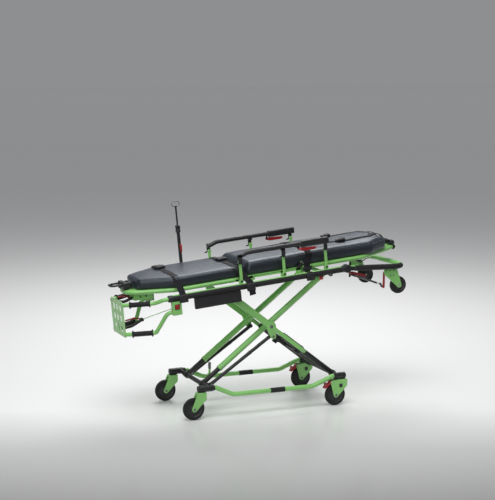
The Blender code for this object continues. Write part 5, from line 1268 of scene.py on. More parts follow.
def make_back_frame():
    back = Piece(LITTER)
    start = BACK_HINGE_U + SECTION_EYE + FACE
    add_section(
        back, (BACK_HINGE_U, BACK_HINGE_W), BACK_FRAME_W, start, BACK_TAPER_U, BACK_END_U,
        BACK_END_HALF_WIDTH
    )
    back.done("back_section_frame", "back_section", "back_frame")


# Foot end


def handle_line(grip_w, sign):
    return (GRIP_START_U, sign * GRIP_START_Y, grip_w), (GRIP_END_U, sign * GRIP_END_Y, grip_w)


def slotted_plate():
    """The foot plate's thin sheet with its nine round-ended slots."""
    low = -PLATE_HEIGHT + LOW_CORNER
    outlines = [
        hull(
            circle((-PLATE_HALF_WIDTH + PLATE_CORNER, -PLATE_CORNER), PLATE_CORNER)
            + circle((PLATE_HALF_WIDTH - PLATE_CORNER, -PLATE_CORNER), PLATE_CORNER)
            + circle((-PLATE_HALF_WIDTH + LOW_CORNER, low), LOW_CORNER)
            + circle((PLATE_HALF_WIDTH - LOW_CORNER, low), LOW_CORNER)
        )
    ]
    end = SLOT_WIDTH / 2
    rise = SLOT_HEIGHT / 2 - end
    for column in (-1, 0, 1):
        for row in (-1, 0, 1):
            y, w = column * SLOT_PITCH_Y, -PLATE_HEIGHT / 2 + row * SLOT_PITCH_W
            outlines.append(hull(circle((y, w - rise), end, 24) + circle((y, w + rise), end, 24)))
    shape = bmesh.new()
    edges = []
    for outline in outlines:
        verts = [shape.verts.new((PLATE_U, y, w)) for y, w in outline]
        edges += [shape.edges.new(pair) for pair in zip(verts, verts[1:] + verts[:1])]
    filled = bmesh.ops.triangle_fill(shape, use_beauty=True, use_dissolve=False, edges=edges)["geom"]
    faces = [item for item in filled if isinstance(item, bmesh.types.BMFace)]
    deep = bmesh.ops.extrude_face_region(shape, geom=faces, use_keep_orig=True)["geom"]
    moved = [item for item in deep if isinstance(item, bmesh.types.BMVert)]
    bmesh.ops.translate(shape, vec=(PLATE_SHEET, 0, 0), verts=moved)
    return shape, outlines[0]


POCKET_DEPTH = 0.010
POCKET_GAP = 0.0006
BEZEL_WIDTH = 0.003
BEZEL_PROUD = 0.0012


def make_handle_frame():
    foot = Piece(LITTER)
    sheet, border = slotted_plate()
    foot.take(sheet, "green")
    edge = PLATE_THICKNESS / 2
    rim = [(PLATE_U + edge, y, w) for y, w in inset(border, edge)]
    foot.tube([*rim, rim[0]], edge, "green", 12)
    inside = PLATE_U + PLATE_THICKNESS / 2
    for sign in SIDES.values():
        start, end = handle_line(UPPER_GRIP_W, sign)
        plate_end = (inside, sign * HANDLE_END_Y, UPPER_GRIP_W)
        points = [(RAIL_FOOT_U - GAP, sign * RAIL_Y, 0), (RAIL_FOOT_U - HANDLE_LEAD, sign * RAIL_Y, 0)]
        points += [beyond(end, start, HANDLE_LEAD), start, end, plate_end]
        foot.tube(bend(points, HANDLE_BEND * 1.5, 6), HANDLE_RADIUS, "green", 22)
        start, end = handle_line(LOWER_GRIP_W, sign)
        plate_end = (inside, sign * HANDLE_END_Y, LOWER_GRIP_W)
        block_w = -RAIL_RADIUS - BLOCK_HEIGHT + HANDLE_RADIUS * 1.4
        knee = (BLOCK_U - BLOCK_LENGTH / 2 - HANDLE_LEAD, sign * (RAIL_Y - LOWER_KNEE_INSET), block_w)
        points = [
            (BLOCK_U, sign * RAIL_Y, block_w), knee, beyond(end, start, LOWER_HANDLE_LEAD), start, end,
            plate_end
        ]
        foot.tube(bend(points, HANDLE_BEND * 1.5, 6), HANDLE_RADIUS, "green", 22)
        half = BLOCK_WIDTH / 2
        top = -RAIL_RADIUS - GAP
        low = (BLOCK_U - BLOCK_LENGTH / 2, sign * RAIL_Y - half, top - BLOCK_HEIGHT)
        high = (BLOCK_U + BLOCK_LENGTH / 2, sign * RAIL_Y + half, top)
        face = RAIL_Y + half
        depth = face - POCKET_DEPTH
        w = -RAIL_RADIUS - BUTTON_DROP
        back = sorted((sign * (RAIL_Y - half), sign * depth))
        foot.block((low[0], back[0], low[2]), (high[0], back[1], high[2]), "green", EASE_FINE)
        hole = BUTTON_SIZE / 2 + POCKET_GAP
        block_face = (low[0], low[2], high[0], top)
        bezel = (
            BLOCK_U - hole - BEZEL_WIDTH, w - hole - BEZEL_WIDTH,
            BLOCK_U + hole + BEZEL_WIDTH, w + hole + BEZEL_WIDTH,
        )
        for outer, front, colour in ((block_face, face, "green"), (bezel, face + BEZEL_PROUD, "plastic")):
            left, bottom, right, upper = outer
            bars = [
                (left, bottom, right, w - hole),
                (left, w + hole, right, upper),
                (left, w - hole, BLOCK_U - hole, w + hole),
                (BLOCK_U + hole, w - hole, right, w + hole),
            ]
            for u0, w0, u1, w1 in bars:
                foot.block((u0, sign * depth, w0), (u1, sign * front, w1), colour, EASE_KEEN, 1)
        for row in (UPPER_GRIP_W, LOWER_GRIP_W):
            foot.bolt((PLATE_U, sign * HANDLE_END_Y, row), (-1, 0, 0), *YOKE_BOLT)
    start = Vector((BLOCK_U - BLOCK_LENGTH / 3, -RAIL_Y + BLOCK_WIDTH / 3, -RAIL_RADIUS - BLOCK_HEIGHT / 2))
    release = Vector((LOWER_RELEASE_U, -LOWER_RELEASE_Y, LOWER_RELEASE_W))
    away = (start - release).normalized()
    foot.tube([start, release + away * (RELEASE_EYE + FACE * 8)], BRACE_RADIUS, "green", 12)
    foot.done("foot_handles", "litter", "handle_frame")


def make_buttons():
    for side, sign in SIDES.items():
        w, face, half = -RAIL_RADIUS - BUTTON_DROP, RAIL_Y + BLOCK_WIDTH / 2, BUTTON_SIZE / 2
        button = Piece(LITTER)
        button.block(
            (BLOCK_U - half, sign * (face - 0.004), w - half),
            (BLOCK_U + half, sign * (face + BUTTON_PROUD), w + half), "red", EASE_SOFT, 3
        )
        button.knob(
            (BLOCK_U, sign * (face + BUTTON_PROUD), w), (0, sign, 0), [(0.0075, -0.002), (0.0065, 0.0006)],
            "red"
        )
        button.done(f"button_{side}", f"release_button_{side}", f"release_button_{side}")


def make_grips():
    for level, grip_w in (("upper", UPPER_GRIP_W), ("lower", LOWER_GRIP_W)):
        for side, sign in SIDES.items():
            start, end = (Vector(p) for p in handle_line(grip_w, sign))
            run = end - start
            length = run.length
            flange = GRIP_FLANGE_WIDTH
            stations = [
                (GRIP_BORE, 0), (GRIP_FLANGE, 0.001), (GRIP_FLANGE, flange - 0.002), (GRIP_RADIUS, flange)
            ]
            ribbed = length - 2 * flange - 0.008
            pitch = ribbed / GRIP_RIBS
            for rib in range(GRIP_RIBS):
                along = flange + 0.004 + ribbed * rib / GRIP_RIBS
                stations += [(GRIP_RADIUS + rise, along + pitch * share) for rise, share in GRIP_RIB]
            stations += [(GRIP_RADIUS, length - flange), (GRIP_FLANGE, length - flange + 0.002)]
            stations += [(GRIP_FLANGE, length - 0.001), (GRIP_BORE, length)]
            grip = Piece(LITTER)
            grip.knob(start, run, stations, "rubber", 28)
            grip.done(f"handle_grip_{level}_{side}", "litter", f"grip_{level}_{side}")


def make_release(level, pivot, grip_end, turn, reach):
    pivot, grip_end = Vector(pivot), Vector(grip_end)
    y = pivot.y
    eye = RELEASE_GRIP_RADIUS + FACE * 2
    ear = 2 * RELEASE_LEVER_RADIUS
    belly = (pivot + grip_end) / 2 - Vector((0, 0, RELEASE_BOW))
    grip = Piece(LITTER)
    grip.tube(
        bend([pivot, belly, grip_end], RELEASE_EYE * 6, 12), RELEASE_GRIP_RADIUS, "plastic", 20, EASE_SOFT
    )
    grip.pin((pivot.x, pivot.z), (y - eye, y + eye), RELEASE_EYE, "plastic", 28, EASE_SHEET)
    grip.pin((pivot.x, pivot.z), (y, y + eye + FACE * 2 + ear), 0.0035, "steel", 14)
    grip.done(
        f"{level}_squeeze_grip", "litter" if level == "lower" else "leg_section", f"{level}_release_grip"
    )
    lane = y + eye + FACE + ear / 2
    lever = Piece(LITTER)
    lever.pin((pivot.x, pivot.z), (lane - ear / 2, lane + ear / 2), RELEASE_EYE * 0.8, "red", 24)
    mid = pivot + Vector((-reach * 0.40 * math.cos(turn), 0, reach * 0.40 * math.sin(turn) + RELEASE_BOW))
    tip = pivot + Vector((-reach * math.cos(turn), 0, reach * math.sin(turn)))
    path = bend([(pivot.x, lane, pivot.z), (mid.x, lane, mid.z), (tip.x, lane, tip.z)], RELEASE_EYE * 6, 12)
    lever.tube(path, RELEASE_LEVER_RADIUS - GAP, "red", 18, EASE_PLATE)
    lever.tube(path[6:-1], RELEASE_LEVER_RADIUS + 0.001, "red", 18, EASE_SOFT)
    lever.done(f"{level}_squeeze_lever", f"{level}_release_lever", f"{level}_release_lever")


def make_releases():
    flat = RELEASE_EYE * math.cos(math.pi / 10)
    u = LEG_END_U + RELEASE_BOX_INSET - flat - GAP
    w = release_box_top() - RELEASE_BOX_HEIGHT * 0.8
    end = (u - UPPER_RELEASE_LENGTH, -UPPER_RELEASE_Y, w - RELEASE_GRIP_RADIUS)
    make_release("upper", (u, -UPPER_RELEASE_Y, w), end, RELEASE_SPREAD, UPPER_RELEASE_LENGTH)
    u, w = LOWER_RELEASE_U, LOWER_RELEASE_W
    end = (PLATE_U + PLATE_THICKNESS + RELEASE_GRIP_RADIUS * 0.3, -LOWER_RELEASE_Y, w - LOWER_RELEASE_DROP)
    make_release("lower", (u, -LOWER_RELEASE_Y, w), end, RELEASE_SPREAD / 3, (u - PLATE_U) * 0.72)


# Guards


def make_guard(side, sign):
    inner, outer = sign * (POST_Y - POST_THICKNESS / 2), sign * (POST_Y + POST_THICKNESS / 2)
    for number, u in enumerate(GUARD_POST_U, 1):
        post = Piece(LITTER)
        top = GUARD_PIVOT_W + GUARD_POST_LENGTH
        shank = rectangle((u - POST_HALF_WIDTH, GUARD_PIVOT_W), (u + POST_HALF_WIDTH, top))
        post.plate(shank, inner + sign * GAP, outer - sign * GAP, "green", EASE_PLATE)
        for w in (GUARD_PIVOT_W, top):
            post.pin((u, w), (inner, outer), GUARD_EYE, "green", 28, EASE_SHEET)
        post.done(f"post_{side}_{number}", f"guard_post_{side}_{number}", f"guard_post_{side}_{number}")
    make_guard_rail(side, sign)


def make_guard_rail(side, sign):
    y = sign * POST_Y
    pivot_w = GUARD_PIVOT_W + GUARD_POST_LENGTH
    first, last = GUARD_POST_U[0], GUARD_POST_U[-1]
    grip_start = last + GUARD_BRACKET_HALF - GUARD_GRIP_LENGTH
    bracket_in = sign * (POST_Y + POST_THICKNESS / 2 + FACE)
    bracket_out = bracket_in + sign * GUARD_BRACKET_WIDTH
    bend_low = pivot_w + GUARD_EYE + GUARD_RAIL_RADIUS + FACE * 4
    rail = Piece(LITTER)
    points = [
        (first - GUARD_BRACKET_HALF, y, bend_low), (first + GUARD_FOOT_SLOPE, y, GUARD_RAIL_W),
        (grip_start + GUARD_RAIL_RADIUS, y, GUARD_RAIL_W)
    ]
    rail.tube(bend(points, GUARD_FOOT_BEND * 1.6, 10), GUARD_RAIL_RADIUS, "plastic", 28, EASE_BLOCK)
    half = GUARD_GRIP_WIDTH / 2
    grip_top = GUARD_RAIL_W + GUARD_GRIP_HEIGHT * 0.45
    grip_end = last + GUARD_BRACKET_HALF + GUARD_RAIL_RADIUS
    rail.block(
        (grip_start, y - half, grip_top - GUARD_GRIP_HEIGHT), (grip_end, y + half, grip_top), "plastic",
        EASE_ROUND, 4
    )
    for u in GUARD_POST_U:
        ear = hull(
            circle((u, pivot_w), GUARD_BRACKET_HALF)
            + rectangle(
                (u - GUARD_BRACKET_HALF, GUARD_RAIL_W - 0.020),
                (u + GUARD_BRACKET_HALF, GUARD_RAIL_W - 0.004)
            )
        )
        rail.plate(ear, bracket_in, bracket_out, "plastic", EASE_PLATE)
        rail.bolt((u, bracket_out, pivot_w), (0, sign, 0), *TONGUE_BOLT, "black")
        tab = hull(
            circle((u, pivot_w - 0.002), 0.006, 20) + circle((u - 0.028, pivot_w - 0.008), 0.0035, 20)
        )
        rail.plate(tab, bracket_in, bracket_out - sign * 0.002, "plastic", EASE_FINE)
        rail.pin((u, pivot_w), (bracket_in, inner_face(sign)), 0.005, "steel", 16)
        low = max(pivot_w + GUARD_EYE + FACE * 4, GUARD_RAIL_W - 0.024)
        rail.block(
            (u - GUARD_BRACKET_HALF, y - sign * 0.012, low),
            (u + GUARD_BRACKET_HALF, bracket_out, GUARD_RAIL_W - 0.006), "plastic", EASE_PLATE
        )
    hinge = (grip_start - GUARD_RAIL_RADIUS, grip_top - GUARD_GRIP_HEIGHT - TRIGGER_TRAVEL_GAP)
    hanger = hull(
        circle(hinge, TRIGGER_HEIGHT * 0.6) + rectangle(
            (hinge[0] - 0.006, GUARD_RAIL_W - 0.012), (hinge[0] + 0.006, GUARD_RAIL_W - 0.004)
        )
    )
    lane = TRIGGER_WIDTH / 2
    rail.plate(hanger, y - sign * (lane + FACE + 0.005), y - sign * (lane + FACE), "plastic", EASE_FINE)
    rail.done(f"guard_top_{side}", f"guard_rail_{side}", f"guard_rail_{side}")
    trigger = Piece(LITTER)
    tip = hinge[0] + TRIGGER_LENGTH
    outline = hull(
        circle(hinge, TRIGGER_HEIGHT / 2, 24)
        + [
            (hinge[0] + 0.012, hinge[1] + 0.009), (tip, hinge[1] + 0.002),
            (tip, hinge[1] - TRIGGER_BELLY * 0.6)
        ]
        + [(hinge[0] + 0.022, hinge[1] - TRIGGER_BELLY), (tip - 0.012, hinge[1] - TRIGGER_BELLY)]
    )
    trigger.plate(outline, y - lane, y + lane, "red", EASE_PLATE)
    for step in range(TRIGGER_RIBS):
        u = hinge[0] + TRIGGER_RIB_START + step * TRIGGER_RIB_PITCH
        low = hinge[1] - TRIGGER_BELLY + 0.001
        trigger.pin((u, low), (y - lane * 0.85, y + lane * 0.85), TRIGGER_RIB_RADIUS, "red", 12)
    trigger.done(f"trigger_{side}", f"guard_trigger_{side}", f"guard_trigger_{side}")


def inner_face(sign):
    return sign * (POST_Y - POST_THICKNESS / 2 - FACE)


# Infusion pole


def make_pole():
    y, half, base = POST_Y, POST_THICKNESS / 2, GUARD_PIVOT_W
    foot = GUARD_EYE * 0.6
    mouth = base + POLE_LENGTH + POLE_COLLAR_LENGTH / 2
    pole = Piece(LITTER)
    pole.pin((POLE_U, base), (y - half, y + half), GUARD_EYE, "black", 28)
    pole.block(
        (POLE_U - 0.009, y - half, base), (POLE_U + 0.009, y + half, base + 3 * foot), "black", EASE_FINE
    )
    pole.tube([(POLE_U, y, base + 2.2 * foot), (POLE_U, y, mouth - 0.01)], POLE_RADIUS, "black", 24)
    collar = [
        (POLE_RADIUS, 0), (POLE_COLLAR_RADIUS, 0.003), (POLE_COLLAR_RADIUS, 0.022),
        (POLE_COLLAR_RADIUS * 0.9, 0.025)
    ]
    collar += [
        (POLE_COLLAR_RADIUS * 0.9, 0.030), (POLE_COLLAR_RADIUS, 0.033), (POLE_COLLAR_RADIUS, 0.052),
        (POLE_RADIUS, 0.055)
    ]
    pole.knob((POLE_U, y, mouth - POLE_COLLAR_LENGTH), (0, 0, 1), collar, "plastic", 28)
    lever_low, lever_high = (base + rise for rise in POLE_LEVER)
    pole.block(
        (POLE_U - 0.002, y - POLE_RADIUS - 0.006, lever_low), (POLE_U + 0.012, y, lever_high), "red",
        EASE_SOFT, 3
    )
    pole.done("pole_lower", "iv_pole_lower", "iv_pole_lower")
    tip = mouth + ROD_SHOWN
    rod = Piece(LITTER)
    rod.tube([(POLE_U, y, mouth - ROD_INSIDE), (POLE_U, y, tip)], ROD_RADIUS, "black", 20)
    centre_w, lobe = tip + HOOK_RADIUS * 0.8, HOOK_SPAN / 2 - HOOK_RADIUS
    loop = []
    for i in range(41):
        turn = math.radians(-90 + 9 * i)
        side = math.copysign(lobe, math.cos(turn)) if abs(math.cos(turn)) > 0.01 else 0.0
        loop.append(
            (POLE_U + side + math.cos(turn) * HOOK_RADIUS, y, centre_w + math.sin(turn) * HOOK_RADIUS)
        )
    rod.tube(loop, HOOK_WIRE, "grey", 12)
    rod.knob(
        (POLE_U, y, tip - 0.012), (0, 0, 1),
        [(ROD_RADIUS, 0), (0.008, 0.003), (0.008, 0.009), (0.005, 0.012)], "black"
    )
    rod.done("pole_upper", "iv_pole_upper", "iv_pole_upper")


# Loading hoop


def make_hoop():
    tube_start = KNUCKLE_RADIUS + FACE * 4
    corners = [
        (tube_start, -RAIL_Y, 0), (HOOP_LENGTH, -RAIL_Y, 0), (HOOP_LENGTH, RAIL_Y, 0),
        (tube_start, RAIL_Y, 0)
    ]
    path = bend(corners, HOOP_BEND * 1.25, 14)
    hoop = Piece(HOOP)
    hoop.tube(path, HOOP_RADIUS, "green", 28)
    axle = (LOADING_AXLE_REACH, -LOADING_AXLE_DROP)
    wheel_y = WHEEL_PLATE_Y - WHEEL_PLATE_THICKNESS / 2 - WHEEL_PLAY - LOADING_WHEEL_WIDTH / 2
    outline = hull(
        circle(axle, AXLE_BOSS)
        + rectangle(
            (WHEEL_PLATE_REACH, -HOOP_RADIUS * 3),
            (WHEEL_PLATE_REACH + WHEEL_PLATE_LENGTH, -HOOP_RADIUS / 3)
        )
    )
    for side, sign in SIDES.items():
        sleeve = [p for p in path if sign * p.y > RAIL_Y * 0.80]
        if sign > 0:
            sleeve = sleeve[::-1]
        sleeve[0] = Vector((HOOP_CHEEK_LENGTH, sign * RAIL_Y, 0))
        hoop.tube(sleeve, HOOP_RADIUS + 0.0012, "rubber", 28, EASE_FINE)
        split, outer = sign * (RAIL_Y + GAP + FACE / 2), sign * (RAIL_Y + KNUCKLE_WIDTH)
        hoop.pin((0, 0), (split, outer), KNUCKLE_RADIUS, "plastic", 40, EASE_PLATE)
        hoop.bolt((0, outer, 0), (0, sign, 0), *HOOP_BOLT, "black")
        rise = HOOP_RADIUS * 0.8
        hoop.block(
            (KNUCKLE_RADIUS / 2, split, -rise), (HOOP_CHEEK_LENGTH, outer - sign * 0.0024, rise), "plastic",
            EASE_BLOCK, 3
        )
        plate_in, plate_out = (sign * (WHEEL_PLATE_Y + way * WHEEL_PLATE_THICKNESS / 2) for way in (-1, 1))
        hoop.plate(outline, plate_in, plate_out, "green", EASE_SHEET)
        hoop.bolt((axle[0], plate_out, axle[1]), (0, sign, 0), *WHEEL_BOLT)
        for x, z in HOOP_RIVETS:
            hoop.knob(
                (x, plate_out, z), (0, sign, 0), [(0.0042, -0.001), (0.0042, 0.0012), (0.003, 0.002)],
                "black", 16
            )
        pin_end = sign * (wheel_y - LOADING_WHEEL_WIDTH / 2 - WHEEL_PLAY)
        hoop.pin((axle[0], axle[1]), (plate_out, pin_end), 0.006, "steel", 16)
        rolling = Piece(HOOP)
        wheel(
            rolling, (axle[0], sign * wheel_y, axle[1]), LOADING_WHEEL_DIAMETER / 2, LOADING_WHEEL_WIDTH / 2
        )
        rolling.done(f"load_wheel_{side}", f"loading_wheel_{side}", f"loading_wheel_{side}")
    knob_y = WHEEL_PLATE_Y - 0.060
    hoop.pin((0.332, -0.022), (WHEEL_PLATE_Y, knob_y), 0.006, "black", 16)
    run = Vector((0.047, 0, -0.022))
    hoop.knob(
        (0.318, knob_y, -0.0145), run, [(0.009, 0), (0.012, 0.003), (0.012, 0.044), (0.007, 0.052)],
        "plastic"
    )
    hoop.tube([(0.366, knob_y, -0.037), (0.432, WHEEL_PLATE_Y - 0.012, -0.020)], 0.0038, "black", 14)
    hoop.done("hoop", "loading_hoop", "loading_hoop")
    make_safety_bar()


def make_safety_bar():
    u, w = SAFETY_BAR_REACH, -SAFETY_BAR_DROP
    outer = WHEEL_PLATE_Y - WHEEL_PLATE_THICKNESS / 2 - FACE
    inner = outer - SAFETY_ARM_THICKNESS
    low = w - SAFETY_BAR_LENGTH
    bail = Piece(HOOP)
    jog = inner - SAFETY_JOG_INSET
    path = [
        (u, outer - GAP, low + SAFETY_JOG), (u, -jog, low + SAFETY_JOG), (u, -jog - SAFETY_JOG, low),
        (u, -outer + GAP, low)
    ]
    bail.tube(bend(path, SAFETY_JOG), SAFETY_ROD + SAFETY_SLEEVE, "black", 18)
    arm = hull(circle((u, w), SAFETY_ARM_HALF, 24) + circle((u, low), SAFETY_ARM_HALF, 24))
    for sign in SIDES.values():
        bail.plate(arm, sign * inner, sign * outer, "red" if sign < 0 else "black", EASE_SHEET)
        level = low + SAFETY_JOG
        ends = [
            (u, sign * (inner - SAFETY_JOG_INSET - 0.045), level),
            (u, sign * (inner - SAFETY_JOG_INSET - 0.010), level)
        ]
        bail.tube(ends, SAFETY_ROD + SAFETY_SLEEVE * 1.6, "white" if sign < 0 else "plastic", 18)
    lane = inner - TRIP_INSET
    start, elbow, end = ((u + du, w + dw) for du, dw in (TRIP_START, TRIP_ELBOW, TRIP_END))
    bail.pin((u, elbow[1]), (inner, lane), 0.006, "red", 18)
    bail.plate(
        hull(circle(elbow, 0.011, 24) + circle(end, 0.009, 24)), lane - 0.003, lane + 0.003, "red",
        EASE_SHEET
    )
    bail.tube([(start[0], lane, start[1]), (elbow[0], lane, elbow[1])], 0.0045, "red", 16)
    bail.done("bail", "safety_bar", "safety_bar")


# Cushions


def smooth_step(low, high, value):
    t = max(0.0, min(1.0, (value - low) / (high - low)))
    return t * t * (3 - 2 * t)


def width_at(widths, u):
    for (u0, half0), (u1, half1) in zip(widths, widths[1:]):
        if u <= u1:
            t = max(0.0, (u - u0) / (u1 - u0))
            return half0 + (half1 - half0) * t
    return widths[-1][1]


RING_BOTTOM = 10
RING_FOOT = 6
RING_SIDE = 8
RING_EDGE = 11
RING_TOP = 20
SEAM_STEP = 4
CLOTH_QUALITY = 6
CLOTH_MASS = 0.02
CLOTH_BENDING = 4.0
SWELL_LENGTH = 0.12
RIPPLE_SCALE = (9, 9, 14)
RIPPLE_HEIGHT = 0.0012
RIPPLE_FROM = 0.15
HEAD_RISE = 0.009
HEAD_CROWN = 0.020
FOOT_ROUND = 0.014
LEG_EDGE_ROUND = 0.020
BODY_EDGE_ROUND = 0.034
SEAM_DEPTH = 0.0016
PIPING_RADIUS = 0.0026
PUFF_FRAMES = 20
PUFF_PRESSURE = 4.0
PUFF_SLACK = -0.03
PUFF_LIMIT = 0.005


def cushion_ring(half, low, high, edge):
    """A rounded section from the middle of the bottom, and the two places of its sewn top seams."""
    right = []
    for i in range(RING_BOTTOM):
        right.append(((half - FOOT_ROUND) * i / RING_BOTTOM, low))
    for i in range(RING_FOOT):
        t = math.radians(-90 + 90 * i / (RING_FOOT - 1))
        right.append(
            (half - FOOT_ROUND + FOOT_ROUND * math.cos(t), low + FOOT_ROUND + FOOT_ROUND * math.sin(t))
        )
    for i in range(RING_SIDE):
        right.append((half, low + FOOT_ROUND + (high - edge - low - FOOT_ROUND) * i / RING_SIDE))
    for i in range(RING_EDGE):
        t = math.radians(90 * i / (RING_EDGE - 1))
        radius = edge - (SEAM_DEPTH if i == SEAM_STEP else 0)
        right.append((half - edge + radius * math.cos(t), high - edge + radius * math.sin(t)))
    seam = len(right) - RING_EDGE + SEAM_STEP
    for i in range(1, RING_TOP + 1):
        right.append(((half - edge) * (1 - i / RING_TOP), high))
    ring = right + [(-v, w) for v, w in reversed(right[1:-1])]
    return ring, (seam, len(ring) - seam)


def puff(cushion, sewn):
    """Lets the cover swell and pucker between its sewn seams in a cloth simulation, and keeps that shape."""
    group = cushion.vertex_groups.new(name="sewn")
    group.add(sewn, 1.0, "REPLACE")
    cloth = cushion.modifiers.new("cover", "CLOTH")
    cloth.collision_settings.use_collision = False
    settings = cloth.settings
    settings.quality = CLOTH_QUALITY
    settings.mass = CLOTH_MASS
    settings.bending_stiffness = CLOTH_BENDING
    settings.use_pressure = True
    settings.uniform_pressure_force = PUFF_PRESSURE
    settings.shrink_min = PUFF_SLACK
    settings.vertex_group_mass = group.name
    settings.effector_weights.gravity = 0
    scene = bpy.context.scene
    for step in range(1, PUFF_FRAMES + 1):
        scene.frame_set(step)
    graph = bpy.context.evaluated_depsgraph_get()
    settled = [vertex.co.copy() for vertex in cushion.evaluated_get(graph).to_mesh().vertices]
    cushion.modifiers.remove(cloth)
    cushion.vertex_groups.remove(group)
    scene.frame_set(1)
    for vertex, target in zip(cushion.data.vertices, settled):
        move = target - vertex.co
        vertex.co += move * min(1.0, PUFF_LIMIT / max(move.length, 1e-9))


def make_cushion(name, ends, widths, low_at, high_at, crown_at, folds, edge, rings):
    """A crowned foam cushion in a tight cover with piped seams, and the piping as a piece of its own.

    folds gives, for each end, the height of the fold's axis and the angle that the end leans back by.
    """
    piece = Piece(LITTER)
    rows = []
    for i in range(rings + 1):
        s = 0.5 - 0.5 * math.cos(math.pi * i / rings)
        middle = ends[0] + (ends[1] - ends[0]) * s
        from_end = min(middle - ends[0], ends[1] - middle)
        dive = max(0.0, 1 - from_end / edge)
        drawn = edge * (1 - math.sqrt(max(0.0, 1 - dive * dive)))
        low, high = low_at(middle) + drawn * 0.3, high_at(middle) - crown_at(middle) - drawn
        half = width_at(widths, middle) - drawn
        swell = 1 - max(0.0, 1 - from_end / SWELL_LENGTH) ** 2
        section, seams = cushion_ring(half, low, high, edge * (1 - 0.4 * dive))
        row = []
        for v, w in section:
            h = (w - low) / (high - low)
            bulge = 4 * h * (1 - h) if 0 < h < 1 else 0.0
            v *= 1 - MATTRESS_DRAW_IN * (1 - bulge) / half
            w += crown_at(middle) * (1 - (v / half) ** 2) * max(0.0, h) * swell
            lean = [max(0.0, w - fold_w) * math.tan(angle) for fold_w, angle in folds]
            start, end = ends[0] + lean[0], ends[1] - lean[1]
            u = start + (end - start) * s
            spot = [c * scale for c, scale in zip((u, v, w), RIPPLE_SCALE)]
            ripple = noise.noise(Vector(spot)) * RIPPLE_HEIGHT
            if h > RIPPLE_FROM:
                w += ripple * h
                v += math.copysign(ripple, v)
            row.append((u, v, w))
        rows.append(row)
    piece.skin(rows, "vinyl")
    cushion = piece.mesh_object(name, SOFT_ANGLE)
    count = len(rows[0])
    flat = [i for i in range(count) if min(i, count - i) <= RING_BOTTOM]
    sewn = [row * count + i for row in range(rings + 1) for i in (*flat, *seams)]
    sewn += [row * count + i for row in (0, rings) for i in range(count)]
    puff(cushion, sorted(set(sewn)))
    spots = [vertex.co for vertex in cushion.data.vertices]
    first, second = seams
    loop = [spots[row * count + first] for row in range(rings + 1)]
    loop += [spots[rings * count + i] for i in range(first + 1, second)]
    loop += [spots[row * count + second] for row in range(rings, -1, -1)]
    loop += [spots[i] for i in range(second - 1, first - 1, -1)]
    welt = Piece(Matrix())
    welt.tube(loop, PIPING_RADIUS, "vinyl", 10)
    return cushion, welt.mesh_object(name + "_piping", SOFT_ANGLE)


def surface_of(cushion):
    mesh = cushion.data
    return BVHTree.FromPolygons([v.co for v in mesh.vertices], [list(p.vertices) for p in mesh.polygons])


def height_on(surface, u, v):
    """Where a plumb line onto the cushion meets it, as a height over the litter's axis."""
    start, down = LITTER @ Vector((u, v, 0.4)), LITTER.to_3x3() @ Vector((0, 0, -1))
    hit = surface.ray_cast(start, down)[0]
    return (LITTER.inverted() @ hit).z if hit else None


def make_mattress():
    leg_low = LEG_FRAME_W + SECTION_TUBE_RADIUS + GAP
    seat_low, back_low = SEAT_DECK_W + GAP, BACK_FRAME_W + SECTION_TUBE_RADIUS + GAP
    fold = (LEG_FRAME_W, LEG_NOTCH_ANGLE)
    flat = (0.0, 0.0)
    leg_widths = [
        (MATTRESS_FOOT_U, MATTRESS_FOOT_HALF_WIDTH), (LEG_TAPER_U, MATTRESS_HALF_WIDTH),
        (LEG_HINGE_U, MATTRESS_HALF_WIDTH),
    ]
    leg, leg_piping = make_cushion(
        "cushion_leg", (MATTRESS_FOOT_U, LEG_HINGE_U - MATTRESS_JOINT), leg_widths,
        lambda u: leg_low, lambda u: MATTRESS_LEG_TOP, lambda u: MATTRESS_CROWN, (flat, fold),
        LEG_EDGE_ROUND, 72,
    )
    surfaces = {"leg": surface_of(leg)}
    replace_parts(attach(leg, "leg_section"), "mattress_leg")
    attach(leg_piping, "leg_section")
    body_widths = [
        (LEG_HINGE_U, MATTRESS_HALF_WIDTH), (MATTRESS_HEAD_TAPER_U, MATTRESS_HALF_WIDTH),
        (MATTRESS_HEAD_U, MATTRESS_HEAD_HALF_WIDTH),
    ]
    torso, torso_piping = make_cushion(
        "cushion_torso", (LEG_HINGE_U + MATTRESS_JOINT, MATTRESS_HEAD_U), body_widths,
        lambda u: seat_low + (back_low - seat_low) * smooth_step(0.25, 0.31, u),
        lambda u: MATTRESS_SEAT_TOP + (MATTRESS_BACK_TOP - MATTRESS_SEAT_TOP) * smooth_step(0.15, 0.40, u)
        + HEAD_RISE * smooth_step(0.50, 0.90, u),
        lambda u: MATTRESS_CROWN + HEAD_CROWN * smooth_step(0.45, 0.88, u),
        (fold, flat), BODY_EDGE_ROUND, 120,
    )
    surfaces["body"] = surface_of(torso)
    for cloth in (torso, torso_piping):
        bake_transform(cloth)
    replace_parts(torso, "mattress_seat", "mattress_back")
    return surfaces


# Straps


